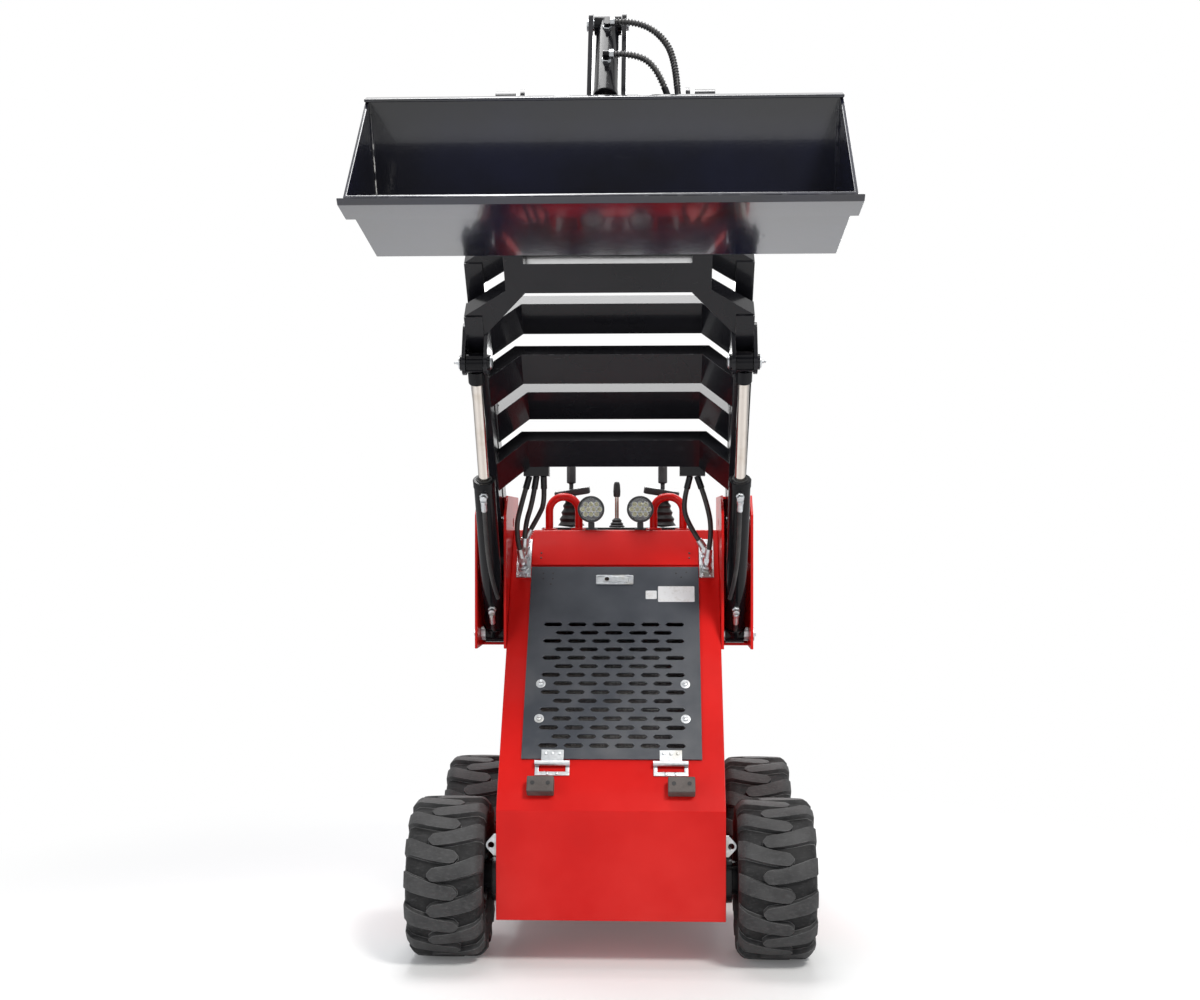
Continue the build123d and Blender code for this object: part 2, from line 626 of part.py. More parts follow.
def tie_down():
    """The right lug beside the nose, with a hole for a shackle."""
    ring = Pos(*TIE_DOWN_PLACE) * Circle(TIE_DOWN_OUTER)
    foot = Pos(BODY_HALF + SEAT + 4, TIE_DOWN_PLACE[1]) * Rectangle(8, 60)
    hole = Pos(*TIE_DOWN_PLACE) * Circle(TIE_DOWN_HOLE)
    sheet = make_hull((Sketch() + [ring, foot]).edges()) - hole
    plane = Plane(origin=(0, TIE_DOWN_Y, 0), x_dir=(1, 0, 0), z_dir=(0, -1, 0))
    return extrude(plane * sheet, TIE_DOWN_THICK, dir=(0, 1, 0))


def boot(x, y):
    """A ribbed rubber boot: rings that step in towards its top."""
    rings, pitch = 5, 21.6
    outline = [(0, 0)]
    for n in range(rings):
        wide = 44.0 - n * 5.4
        outline += [(wide, n * pitch + 6), (wide - 9.0, n * pitch + 18)]
    outline += [(0, rings * pitch)]
    face = make_face(Polyline(*outline, close=True))
    return Pos(x, y, DECK_Z + 8.3) * revolve(Plane.XZ * face, Axis.Z)


def fitting_tip(number):
    """Where a bulkhead's stub ends, in the side view."""
    return slope_point(SLOPE_LENGTH - BULKHEAD_FOOT + FITTING_UPS[number], FITTING_REACH)


HOSE_ROUTES = (
    # side, fitting, two points of the bow, x of the end in the block; x is from BULKHEAD_X
    (-1, 0, (21.0, 38.0, 1235.0), (1.0, 24.0, 1315.0), -23.0),
    (-1, 1, (-9.0, 66.0, 1258.0), (-29.0, 44.0, 1312.0), -45.0),
    (-1, 2, (-49.0, 88.0, 1282.0), (-67.0, 58.0, 1318.0), -67.0),
    (1, 0, (15.0, 42.0, 1236.0), (-1.0, 28.0, 1316.0), -31.0),
    (1, 1, (-63.0, 70.0, 1262.0), (-73.0, 50.0, 1318.0), -53.0),
)


def hose_points(route):
    """A lift hose's fitting tip, bow and end, on its own side."""
    side, fitting, first, second, end_x = route
    tip = (0.0, *fitting_tip(fitting))
    end = (end_x, HOSE_BLOCK_BACK - 25.0, HOSE_BLOCK_Z)
    return [Vector(side * (BULKHEAD_X + x), y, z) for x, y, z in (tip, first, second, end)]


def shortened(points, start, end):
    """A route with this much taken off at its start and at its end, where the crimps are."""
    first = points[0] + (points[1] - points[0]).normalized() * start
    last = points[-1] + (points[-2] - points[-1]).normalized() * end
    return [first, *points[1:-1], last]


def crimps(points, length_start, length_end, radius):
    """The two crimped ends of a hose, from its fittings to where its cover starts."""
    ends = shortened(points, length_start, length_end)
    made = Part()
    if length_start:
        made += bar(tuple(points[0]), tuple(ends[0]), radius)
    if length_end:
        made += bar(tuple(points[-1]), tuple(ends[-1]), radius)
    return made


def hose(points, radius):
    """A hose's cover along straight runs joined by arcs as large as the runs allow."""
    runs = [b - a for a, b in zip(points, points[1:])]
    radii = []
    for before, after in zip(runs, runs[1:]):
        turn = math.radians(before.get_angle(after))
        radii.append(0.45 * min(before.length, after.length) / math.tan(turn / 2))
    print("hose radii", [round(r) for r in radii])
    path = FilletPolyline(*[tuple(p) for p in points], radius=radii)
    return sweep(Plane(origin=tuple(points[0]), z_dir=tuple(runs[0])) * Circle(radius), path)


def lift_hoses(side):
    """The hoses of one side that bow from the body's bulkhead to the lower link."""
    made = Part()
    for route in HOSE_ROUTES:
        if route[0] == side:
            made += hose(shortened(hose_points(route), CRIMP_LONG, CRIMP_LONG - 5), HOSE_RADIUS)
    return made


def hose_block():
    """The right block behind the lower crossbar that the lift hoses end in."""
    back_face = BAR_STATIONS[0] - BAR_LONG / 2
    low = link_point(LOWER_PIVOT, back_face, BAR_RISE - BAR_THICK / 2 + 4)
    high = link_point(LOWER_PIVOT, back_face, BAR_RISE + BAR_THICK / 2 - 4)
    inside = link_point(LOWER_PIVOT, back_face + 6.0, BAR_RISE)
    outline = [inside, low, (low[0], HOSE_BLOCK_Z), (HOSE_BLOCK_BACK, HOSE_BLOCK_Z),
               (HOSE_BLOCK_BACK, high[1]), high]
    return prism(outline, BULKHEAD_X - 85.0, BULKHEAD_X - 7.0)


def hose_ends():
    """The blocks with the crimped upper ends of all the lift hoses."""
    made = both(hose_block())
    for route in HOSE_ROUTES:
        made += crimps(hose_points(route), 0, CRIMP_LONG - 5, HOSE_RADIUS + 2)
    return made


def bulkhead_fittings():
    """The zinc plates beside the door with a stub, an elbow and a crimp for each hose."""
    foot = SLOPE_LENGTH - BULKHEAD_FOOT
    made = both(on_slope((BULKHEAD_X - 22.5, BULKHEAD_X + 22.5), (foot, foot + BULKHEAD_LONG), (SEAT, 5)))
    for route in HOSE_ROUTES:
        side, fitting = route[:2]
        seat = slope_point(foot + FITTING_UPS[fitting], 4)
        tip = fitting_tip(fitting)
        made += rod_between(side * BULKHEAD_X, seat, tip, 11)
        made += Pos(side * BULKHEAD_X, *tip) * Sphere(12)
        made += crimps(hose_points(route), CRIMP_LONG, 0, HOSE_RADIUS + 3)
    return made


TILT_RUN = (
    (LUG_PIN[0] - HORN_END[0]) / math.dist(HORN_END, LUG_PIN),
    (LUG_PIN[1] - HORN_END[1]) / math.dist(HORN_END, LUG_PIN),
)
TILT_FRONT = (TILT_RUN[1], -TILT_RUN[0])


def port_tip(number, reach=PORT_REACH):
    """A point ahead of the tilt barrel at one of its ports."""
    return beside(beside(HORN_END, TILT_RUN, TILT_PORTS[number]), TILT_FRONT, reach)


TILT_ROUTES = (
    # port, the points between the port's elbow and the block, x of the end in the block
    (0, ((142.0, -684.0, 2520.0), (176.0, -708.0, 2452.0)), 184.0),
    (1, ((130.0, -758.0, 2412.0),), 160.0),
)
PORT_ELBOW = 20.0
TILT_CRIMP = 30.0


def tilt_hose_points(route):
    """A tilt hose's elbow, first run to the right, bow and end on the mast's block."""
    port, between, end_x = route
    tip = port_tip(port)
    first = (PORT_ELBOW + 60.0, *tip)
    end = (end_x, KNEE[0], TILT_BLOCK_Z)
    return [Vector(*p) for p in ((PORT_ELBOW, *tip), first, *between, end)]


def tilt_hoses():
    made = Part()
    for route in TILT_ROUTES:
        made += hose(shortened(tilt_hose_points(route), 0, TILT_CRIMP), TILT_HOSE_RADIUS)
    return made


def tilt_ports():
    """The stubs and elbows on the tilt barrel."""
    made = Part()
    for number in range(len(TILT_PORTS)):
        tip = port_tip(number)
        made += rod_between(0, port_tip(number, TILT_BARREL_R - 3), tip, 9)
        made += cross_rod(-8, PORT_ELBOW, tip, 9)
    return made


def tilt_block():
    """The block on the mast's upper cross tube that the tilt hoses end in."""
    made = block((146, 198), (KNEE[0] - 18, KNEE[0] + 18), (KNEE[1], TILT_BLOCK_Z))
    for route in TILT_ROUTES:
        made += crimps(tilt_hose_points(route), 0, TILT_CRIMP, TILT_HOSE_RADIUS + 2)
    return made


def main():
    save("chassis_body", chassis())
    save("cowl_panel", on_slope(
        (-DOOR_HALF, DOOR_HALF), (SLOPE_LENGTH - COWL_LENGTH - 6, SLOPE_LENGTH - 6),
        (SEAT, SEAT + 4)))
    save("engine_block", block(
        (-210.0, 210.0), (230.0, 640.0), (BODY_BOTTOM + BODY_WALL + SEAT, 600.0)))
    inner_half = BODY_HALF - BODY_WALL - SEAT
    save("radiator", on_slope((-inner_half, inner_half), (190.0, 700.0), (-190.0, -130.0)))

    save("grille_door", door())
    save("door_hinges", both(
        cross_rod(HINGE_X - HINGE_HALF, HINGE_X + HINGE_HALF, HINGE_LINE, HINGE_RADIUS)
        + on_slope((HINGE_X - 32, HINGE_X + 32), (DOOR_FOOT - HINGE_DROP, DOOR_FOOT + 26),
                   (SEAT + DOOR_THICK + SEAT, SEAT + DOOR_THICK + 5))))
    save("door_latch", on_slope(
        (-58.0, 58.0), (DOOR_FOOT + DOOR_LENGTH - 66, DOOR_FOOT + DOOR_LENGTH - 32),
        (2 * SEAT + DOOR_THICK, 2 * SEAT + DOOR_THICK + 6)))

    wheels = (
        # name, side, axle's y
        ("front_left", -1, FRONT_AXLE_Y), ("front_right", 1, FRONT_AXLE_Y),
        ("rear_left", -1, FRONT_AXLE_Y + WHEELBASE), ("rear_right", 1, FRONT_AXLE_Y + WHEELBASE),
    )
    one_tyre, one_rim = tyre_solid(), rim_solid()
    middle = TYRE_INNER_X + TYRE_WIDTH / 2
    for name, side, axle_y in wheels:
        place = Pos(side * middle, axle_y, TYRE_RADIUS)
        save(f"tyre_{name}", place * (one_tyre if side > 0 else mirror(one_tyre, Plane.YZ)))
        save(f"rim_{name}", place * (one_rim if side > 0 else mirror(one_rim, Plane.YZ)))
    hub = Part()
    for axle_y in (FRONT_AXLE_Y, FRONT_AXLE_Y + WHEELBASE):
        place = (axle_y, TYRE_RADIUS)
        hub += cross_rod(BODY_HALF + SEAT, BODY_HALF + 22, place, 72.0)
        hub += cross_rod(BODY_HALF + 22, middle - 8, place, 48.0)
        hub += cross_rod(BODY_HALF + 22, middle + 24, place, AXLE_RADIUS)
    save("axle_hubs", both(hub))

    save("tower_right", tower())
    save("tower_left", mirror(tower(), Plane.YZ))
    save("tower_pins", both(tower_pins()))

    save("lower_link", link(LOWER_PIVOT) + both(clevis()) + hose_ends())
    save("upper_link", link(UPPER_PIVOT))
    barrel = cylinder_barrel(ARM_X, CYL_FOOT, ROD_PIN, LIFT_BARREL_R - 3, LIFT_BARREL_R,
                             LIFT_BORE_R, LIFT_BARREL)
    barrel -= gland_bore(ARM_X, CYL_FOOT, ROD_PIN, LIFT_BARREL, LIFT_ROD_R)
    rod = cylinder_rod(ARM_X, CYL_FOOT, ROD_PIN, LIFT_BARREL, LIFT_ROD_R, 28.0,
                       TUBE_WIDE / 2 - 2)
    for side, name in ((1, "right"), (-1, "left")):
        save(f"lift_barrel_{name}", barrel if side > 0 else mirror(barrel, Plane.YZ))
        save(f"lift_rod_{name}", rod if side > 0 else mirror(rod, Plane.YZ))

    save("mast_frame", mast() + tilt_block())
    save("mast_pins", mast_pins())
    tilt = cylinder_barrel(0, HORN_END, LUG_PIN, HORN_X - 8, TILT_BARREL_R, TILT_BORE_R,
                           TILT_BARREL)
    tilt -= gland_bore(0, HORN_END, LUG_PIN, TILT_BARREL, TILT_ROD_R)
    save("tilt_barrel", tilt + tilt_ports())
    save("tilt_rod", cylinder_rod(0, HORN_END, LUG_PIN, TILT_BARREL, TILT_ROD_R, 25.0, 22.0))

    save("bucket_shell", bucket_shell())
    save("cutting_edge", cutting_edge())
    save("quick_attach", quick_attach())

    save("platform", platform())
    lamp_y, lamp_z = DECK_Y + 10.0, DECK_Z + 66.0
    lamps = both(Pos(78, lamp_y, lamp_z) * Rot(90, 0, 0) * Cylinder(42.5, 44)
                 + block((68, 88), (lamp_y, lamp_y + 20), (DECK_Z + SEAT, lamp_z - 20)))
    save("lamps", lamps)
    lens = Pos(78, lamp_y - 22 - SEAT - 2, lamp_z) * Rot(90, 0, 0) * Cylinder(36, 4)
    save("lamp_lenses", both(lens))
    save("console", block((-240, 240), (DECK_Y + 90, DECK_END_Y - 20), (DECK_Z + SEAT, DECK_Z + 8)))
    save("joystick_boots", both(boot(150, DECK_Y + 160)))
    grip = Pos(150, DECK_Y + 160, DECK_Z + 8 + 108 + 0.6)
    save("joystick_grips", both(
        grip * Cylinder(7, 40, align=(Align.CENTER, Align.CENTER, Align.MIN))
        + grip * Pos(0, 0, 36) * Cylinder(15, 56, align=(Align.CENTER, Align.CENTER, Align.MIN))))
    save("centre_lever", Pos(0, DECK_Y + 150, DECK_Z + 8 + SEAT) * (
        Cylinder(7, 130, align=(Align.CENTER, Align.CENTER, Align.MIN))
        + Pos(0, 0, 100) * Cylinder(12, 50, align=(Align.CENTER, Align.CENTER, Align.MIN))))
    save("hand_hoops", both(hoop(120, 215, DECK_Y + 60, DECK_Z + SEAT, DECK_Z + 106, 12.5)))
    save("bulkheads", bulkhead_fittings())
    save("hoses_left", lift_hoses(-1))
    save("hoses_right", lift_hoses(1))
    save("tilt_hoses", tilt_hoses())
    save("tie_downs", both(tie_down()))
    save("rubber_stops", both(on_slope((161.5, 238.5), (44, 92), (SEAT, 34))))


main()
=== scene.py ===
"""The looks of a wheeled stand-on mini loader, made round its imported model."""

import json
import math

import bmesh
import bpy
from mathutils import Matrix, Vector

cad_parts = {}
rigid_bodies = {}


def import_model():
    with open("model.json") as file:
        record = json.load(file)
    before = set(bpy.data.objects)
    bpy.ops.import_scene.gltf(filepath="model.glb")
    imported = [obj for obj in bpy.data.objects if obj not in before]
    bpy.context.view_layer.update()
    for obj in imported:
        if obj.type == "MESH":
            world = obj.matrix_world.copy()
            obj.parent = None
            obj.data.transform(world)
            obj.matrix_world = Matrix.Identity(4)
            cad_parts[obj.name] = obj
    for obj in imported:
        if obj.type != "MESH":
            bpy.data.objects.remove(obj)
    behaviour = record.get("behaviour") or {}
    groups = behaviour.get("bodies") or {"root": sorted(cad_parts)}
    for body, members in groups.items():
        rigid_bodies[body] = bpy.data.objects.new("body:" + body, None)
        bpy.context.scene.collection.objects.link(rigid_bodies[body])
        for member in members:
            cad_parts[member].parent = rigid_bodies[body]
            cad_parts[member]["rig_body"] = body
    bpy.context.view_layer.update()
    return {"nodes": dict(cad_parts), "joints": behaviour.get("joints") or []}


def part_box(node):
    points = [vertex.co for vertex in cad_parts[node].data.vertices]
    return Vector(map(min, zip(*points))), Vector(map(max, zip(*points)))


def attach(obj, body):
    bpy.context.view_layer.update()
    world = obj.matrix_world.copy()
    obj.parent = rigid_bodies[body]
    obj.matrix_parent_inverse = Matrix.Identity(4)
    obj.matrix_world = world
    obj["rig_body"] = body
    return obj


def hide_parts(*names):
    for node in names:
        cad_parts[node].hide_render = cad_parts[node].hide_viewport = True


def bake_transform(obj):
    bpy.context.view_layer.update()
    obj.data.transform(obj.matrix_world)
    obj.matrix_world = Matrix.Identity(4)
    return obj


bl_info = {
    "name": "Mini loader looks",
    "version": (1, 0, 0),
    "blender": (4, 5, 0),
    "location": "3D View > Sidebar > Loader",
    "description": "Dresses a stand-on mini loader in paint, rubber, chrome and small parts",
    "category": "Object",
}

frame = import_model()
NODES = frame["nodes"]
SIDES = (("left", -1), ("right", 1))
CORNERS = ("front_left", "front_right", "rear_left", "rear_right")
PIVOT = {j["name"]: Vector(j["pos_m"]) for j in frame["joints"] if "pos_m" in j}
AXIS = {j["name"]: Vector(j["axis"]) for j in frame["joints"]}
BODY_OF = {node: shown["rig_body"] for node, shown in NODES.items()}

# The machine's own directions, the body's slope and a lift link at rest
ACROSS, INWARD, UP = Vector((1, 0, 0)), Vector((0, 1, 0)), Vector((0, 0, 1))
SLOPE_UP = Vector((0, 0.5648, 0.8252))
SLOPE_OUT = ACROSS.cross(SLOPE_UP)
LINK_RUN = PIVOT["mast_hinge"] - PIVOT["lift"]
LINK_ALONG = Vector((0, LINK_RUN.y, LINK_RUN.z)).normalized()
LINK_ABOVE = LINK_ALONG.cross(ACROSS)

DOOR_THICK = 0.006
DOOR_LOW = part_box("grille_door")[0]
DOOR_FOOT = Vector((0, DOOR_LOW.y - SLOPE_OUT.y * DOOR_THICK, DOOR_LOW.z))


class Value:
    """A shader socket that takes part in sums; each sum adds its Math node."""

    def __init__(self, paint, socket):
        self.paint = paint
        self.socket = socket

    def math(self, operation, *others):
        made = self.paint.add("ShaderNodeMath", {"operation": operation}, {0: self})
        for place, other in enumerate(others, 1):
            self.paint.feed(made.inputs[place], other)
        return Value(self.paint, made.outputs[0])

    def from_number(self, operation, number):
        made = self.paint.add("ShaderNodeMath", {"operation": operation}, {0: number, 1: self})
        return Value(self.paint, made.outputs[0])

    def __add__(self, other):
        return self.math("ADD", other)

    def __sub__(self, other):
        return self.math("SUBTRACT", other)

    def __mul__(self, other):
        return self.math("MULTIPLY", other)

    def __truediv__(self, other):
        return self.math("DIVIDE", other)

    def __rsub__(self, number):
        return self.from_number("SUBTRACT", number)

    __radd__ = __add__
    __rmul__ = __mul__

    def sine(self):
        return self.math("SINE")

    def clamped(self):
        made = self.paint.add("ShaderNodeClamp", {}, {0: self})
        return Value(self.paint, made.outputs[0])

    def between(self, low, high):
        """0 below low, 1 above high, and straight between them."""
        return ((self - low) / (high - low)).clamped()


class Paint:
    """One material's nodes, with short ways to add what the finishes here share."""

    def __init__(self, name, **settings):
        self.material = bpy.data.materials.new(name)
        self.material.use_nodes = True
        self.nodes = self.material.node_tree.nodes
        self.links = self.material.node_tree.links
        self.shader = self.nodes["Principled BSDF"]
        self.place = self.add("ShaderNodeTexCoord").outputs["Object"]
        for socket, value in settings.items():
            self.shader.inputs[socket.replace("_", " ")].default_value = value

    def add(self, kind, settings=None, inputs=None):
        node = self.nodes.new(kind)
        for key, value in (settings or {}).items():
            setattr(node, key, value)
        for key, value in (inputs or {}).items():
            self.feed(node.inputs[key], value)
        return node

    def feed(self, socket, value):
        if isinstance(value, Value):
            self.links.new(value.socket, socket)
        elif isinstance(value, bpy.types.NodeSocket):
            self.links.new(value, socket)
        else:
            socket.default_value = value

    def stretched(self, scale):
        node = self.add("ShaderNodeMapping", {}, {"Vector": self.place, "Scale": scale})
        return node.outputs[0]

    def noise(self, scale, detail=3.0, rough=0.55, place=None):
        node = self.add("ShaderNodeTexNoise", {}, {
            "Vector": place or self.place, "Scale": scale, "Detail": detail, "Roughness": rough,
        })
        return Value(self, node.outputs["Fac"])

    def cells(self, scale):
        node = self.add("ShaderNodeTexVoronoi", {}, {"Vector": self.place, "Scale": scale})
        return Value(self, node.outputs["Distance"])

    def axis(self, name):
        node = self.add("ShaderNodeSeparateXYZ", {}, {0: self.place})
        return Value(self, node.outputs[name])

    def facing(self, name):
        """How far the surface's true normal points along an axis."""
        node = self.add("ShaderNodeNewGeometry")
        parts = self.add("ShaderNodeSeparateXYZ", {}, {0: node.outputs["True Normal"]})
        return Value(self, parts.outputs[name])

    def edges(self, radius):
        """1 on sharp edges and corners, where paint wears first, and 0 on flats."""
        soft = self.add("ShaderNodeBevel", {"samples": 6}, {"Radius": radius})
        true = self.add("ShaderNodeNewGeometry")
        dot = self.add("ShaderNodeVectorMath", {"operation": "DOT_PRODUCT"}, {
            0: soft.outputs[0], 1: true.outputs["Normal"],
        })
        return (1 - Value(self, dot.outputs["Value"])).between(0.02, 0.25)

    def mix(self, amount, low, high):
        """A colour between two, by amount."""
        node = self.add("ShaderNodeMix", {"data_type": "RGBA"}, {"Factor": amount})
        for key, colour in (("A", low), ("B", high)):
            socket = next(s for s in node.inputs if s.name == key and s.type == "RGBA")
            if isinstance(colour, bpy.types.NodeSocket):
                self.links.new(colour, socket)
            else:
                socket.default_value = (*colour[:3], 1)
        return next(s for s in node.outputs if s.type == "RGBA")

    def set(self, socket, value):
        self.feed(self.shader.inputs[socket], value)

    def bump(self, height, distance):
        node = self.add("ShaderNodeBump", {}, {"Height": height, "Distance": distance})
        self.set("Normal", node.outputs[0])


def painted(name, colour, shade, rough, coat, gloss, worn=(0.10, 0.09, 0.085), dust=0.10):
    """Sprayed enamel: orange peel, a cloudy tone, dusty low down and rubbed at its edges."""
    paint = Paint(name, Coat_Roughness=0.06, Specular_IOR_Level=gloss)
    cloud = paint.noise(3.1, 4.0)
    fine = paint.noise(38.0, 3.0)
    peel = paint.noise(210.0, 2.0)
    scuffs = paint.noise(9.0, 6.0, 0.7, paint.stretched((1.0, 1.0, 5.0))).between(0.62, 0.72)
    edge = paint.edges(0.003) * fine.between(0.50, 0.62)
    low_down = 1 - paint.axis("Z").between(0.10, 0.60)
    up = paint.facing("Z").between(0.5, 0.95)
    dirt = (low_down * 0.6 + up * 0.35 + 0.05) * cloud.between(0.42, 0.70) * dust
    tone = paint.mix(cloud.between(0.3, 0.7), shade, colour)
    tone = paint.mix(dirt.clamped(), tone, (0.30, 0.25, 0.20))
    paint.set("Base Color", paint.mix(edge * 0.45, tone, worn))
    paint.set("Roughness", (dirt * 0.5 + scuffs * 0.10 + fine * 0.07 + edge * 0.2 + rough - 0.03).clamped())
    paint.set("Coat Weight", (1 - dirt * 1.4).clamped() * coat)
    paint.bump(peel * 0.5 + fine * 0.8, 0.00016)
    return paint.material


def zinc_plate():
    """Bright zinc: faint spangle, brush lines and duller patches."""
    paint = Paint("zinc plate", Metallic=1.0)
    spangle = paint.cells(90.0)
    brush = paint.noise(60.0, 4.0, 0.6, paint.stretched((1.0, 9.0, 9.0)))
    cloud = paint.noise(14.0, 4.0)
    tone = paint.mix(spangle.between(0.1, 0.8), (0.66, 0.68, 0.70), (0.52, 0.54, 0.56))
    paint.set("Base Color", paint.mix(cloud.between(0.55, 0.75), tone, (0.42, 0.40, 0.36)))
    paint.set("Roughness", brush * 0.22 + cloud * 0.14 + 0.18)
    paint.bump(brush + spangle * 0.5, 0.00012)
    return paint.material


def chromed():
    """Hard chrome with faint lengthwise draw marks and a film of oil."""
    paint = Paint("chromed rod", Metallic=1.0)
    marks = paint.noise(45.0, 3.0, 0.6, paint.stretched((8.0, 1.0, 1.0)))
    film = paint.noise(11.0, 4.0)
    paint.set("Base Color", paint.mix(film.between(0.5, 0.75), (0.66, 0.61, 0.56), (0.50, 0.43, 0.35)))
    paint.set("Roughness", marks * 0.10 + film * 0.10 + 0.03)
    paint.bump(marks, 0.00003)
    return paint.material


def tyre_rubber(name, dark, pale, scuffed):
    """Carbon black rubber, dry and scuffed grey in patches, with its edges painted pale: partly rubbed
    wear, partly painted highlight.
    """
    paint = Paint(name, Specular_IOR_Level=0.22)
    grit = paint.noise(230.0, 5.0, 0.75)
    cloud = paint.noise(14.0, 5.0, 0.65)
    scuff = paint.noise(52.0, 6.0, 0.8, paint.stretched((1.0, 2.5, 2.5))).between(0.50, 0.70)
    edge = paint.edges(0.0035) * cloud.between(0.30, 0.55)
    tone = paint.mix(cloud.between(0.30, 0.75), dark, pale)
    tone = paint.mix(scuff * scuffed, tone, (0.115, 0.115, 0.117))
    # Edges painted pale grey in patches: partly rubbed rubber, partly a painted highlight along them.
    paint.set("Base Color", paint.mix(edge * 0.75, tone, (0.27, 0.27, 0.27)))
    paint.set("Roughness", scuff * 0.15 + cloud * 0.18 + 0.50)
    paint.bump(grit * 0.9 + scuff * 0.6, 0.0007)
    return paint.material


# The carcass is the lugs' rubber painted far darker: painted shade in the grooves between the lugs.
def carcass_rubber_painted_shade():
    return tyre_rubber("tyre carcass in painted shade", (0.006, 0.006, 0.0065), (0.026, 0.026, 0.027), 0.35)


def lug_rubber():
    return tyre_rubber("tyre lugs", (0.030, 0.030, 0.031), (0.070, 0.070, 0.071), 0.55)


def moulded(name, colour, rough=0.5, grain=0.0003, scale=320.0):
    """Moulded rubber or plastic with a fine grain."""
    paint = Paint(name, Specular_IOR_Level=0.4)
    fine = paint.cells(scale)
    cloud = paint.noise(18.0, 4.0)
    lighter = tuple(c * 1.9 + 0.012 for c in colour)
    paint.set("Base Color", paint.mix(cloud.between(0.4, 0.75), colour, lighter))
    paint.set("Roughness", cloud * 0.2 + (rough - 0.1))
    paint.bump(fine, grain)
    return paint.material


def braided():
    """A smooth rubber hose cover with the print of its cloth wrap."""
    paint = Paint("hose cover", Specular_IOR_Level=0.45)
    wrap = (paint.axis("Z") * 900.0).sine() * (paint.axis("X") * 900.0).sine()
    cloud = paint.noise(16.0, 4.0)
    paint.set("Base Color", paint.mix(cloud.between(0.4, 0.7), (0.014, 0.014, 0.016), (0.05, 0.048, 0.045)))
    paint.set("Roughness", cloud * 0.2 + 0.34)
    paint.bump(wrap, 0.0002)
    return paint.material


def powder_coat():
    """Dark grey powder coat with a fine wrinkle, dusty towards its foot."""
    paint = Paint("grille powder coat", Specular_IOR_Level=0.5)
    wrinkle = paint.noise(420.0, 3.0, 0.6)
    cloud = paint.noise(7.0, 5.0)
    low_down = 1 - paint.axis("Z").between(0.55, 1.1)
    edge = paint.edges(0.003) * paint.noise(40.0).between(0.45, 0.6)
    tone = paint.mix(cloud.between(0.3, 0.7), (0.026, 0.031, 0.042), (0.044, 0.051, 0.064))
    tone = paint.mix(low_down * cloud.between(0.4, 0.7) * 0.18, tone, (0.24, 0.22, 0.20))
    paint.set("Base Color", paint.mix(edge * 0.6, tone, (0.30, 0.31, 0.32)))
    paint.set("Roughness", wrinkle * 0.16 + cloud * 0.12 + 0.22)
    paint.bump(wrinkle, 0.00025)
    return paint.material


def cast_iron():
    paint = Paint("engine iron", Metallic=0.6)
    sand = paint.noise(260.0, 4.0, 0.7)
    cloud = paint.noise(10.0, 4.0)
    paint.set("Base Color", paint.mix(cloud.between(0.3, 0.7), (0.05, 0.05, 0.052), (0.12, 0.105, 0.09)))
    paint.set("Roughness", sand * 0.2 + 0.5)
    paint.bump(sand, 0.0006)
    return paint.material


def radiator_fins():
    """Bare aluminium fins between flat tubes."""
    paint = Paint("radiator fins", Metallic=0.9)
    fins = (paint.axis("X") * 1400.0).sine()
    tubes = (paint.axis("Z") * 420.0).sine().between(0.7, 0.9)
    dust = paint.noise(6.0, 5.0).between(0.4, 0.7)
    tone = paint.mix(tubes, (0.20, 0.20, 0.21), (0.42, 0.43, 0.44))
    paint.set("Base Color", paint.mix(dust * 0.5, tone, (0.20, 0.17, 0.13)))
    paint.set("Roughness", dust * 0.3 + 0.35)
    paint.bump(fins + tubes * 2.0, 0.0008)
    return paint.material


def lamp_glass():
    """Clear polycarbonate, faintly scratched."""
    paint = Paint("lamp lens", Transmission_Weight=0.92, IOR=1.5)
    scratch = paint.noise(120.0, 4.0, 0.7)
    paint.set("Base Color", paint.mix(scratch.between(0.4, 0.6), (0.95, 0.96, 0.97), (0.88, 0.90, 0.92)))
    paint.set("Roughness", scratch * 0.06 + 0.02)
    return paint.material


def mirror_cup():
    paint = Paint("lamp reflector", Metallic=1.0)
    dull = paint.noise(60.0, 3.0)
    paint.set("Base Color", paint.mix(dull, (0.86, 0.86, 0.88), (0.70, 0.71, 0.74)))
    paint.set("Roughness", dull * 0.08 + 0.05)
    return paint.material


def red_enamel():
    colours = bpy.context.scene.loader_colours
    shade = tuple(c * 0.80 for c in colours.body_red)
    return painted("red enamel", colours.body_red, shade, rough=0.30, coat=0.10, gloss=0.14)


def black_enamel():
    colours = bpy.context.scene.loader_colours
    lifted = tuple(c * 1.7 for c in colours.arm_black)
    return painted("black enamel", lifted, colours.arm_black, rough=0.20, coat=0.22, gloss=0.20,
                   worn=(0.20, 0.20, 0.21), dust=0.07)


def cylinder_enamel():
    """The cylinders' black paint, duller and darker than the arms'."""
    colours = bpy.context.scene.loader_colours
    shade = tuple(c * 0.6 for c in colours.arm_black)
    return painted("cylinder enamel", colours.arm_black, shade, rough=0.16, coat=0.14, gloss=0.10,
                   worn=(0.16, 0.16, 0.17), dust=0.05)


def bucket_enamel():
    """The bucket's black, glossier than the arms' and tinted blue as a painted reflection, rubbed where
    soil slides.
    """
    colours = bpy.context.scene.loader_colours
    # The blue in this base colour is a painted reflection.
    blue = tuple(c * f + 0.002 for c, f in zip(colours.arm_black, (1.2, 1.5, 3.4)))
    return painted("bucket enamel", blue, colours.arm_black, rough=0.15, coat=0.6, gloss=0.55,
                   worn=(0.17, 0.17, 0.19), dust=0.06)


def blank_label():
    """A plain printed film: pale, a little glossy, with a soft handled look."""
    paint = Paint("label film", Coat_Weight=0.35, Coat_Roughness=0.12)
    wear = paint.noise(40.0, 5.0, 0.7)
    paint.set("Base Color", paint.mix(wear.between(0.5, 0.72), (0.72, 0.73, 0.74), (0.55, 0.54, 0.52)))
    paint.set("Roughness", wear * 0.2 + 0.28)
    return paint.material


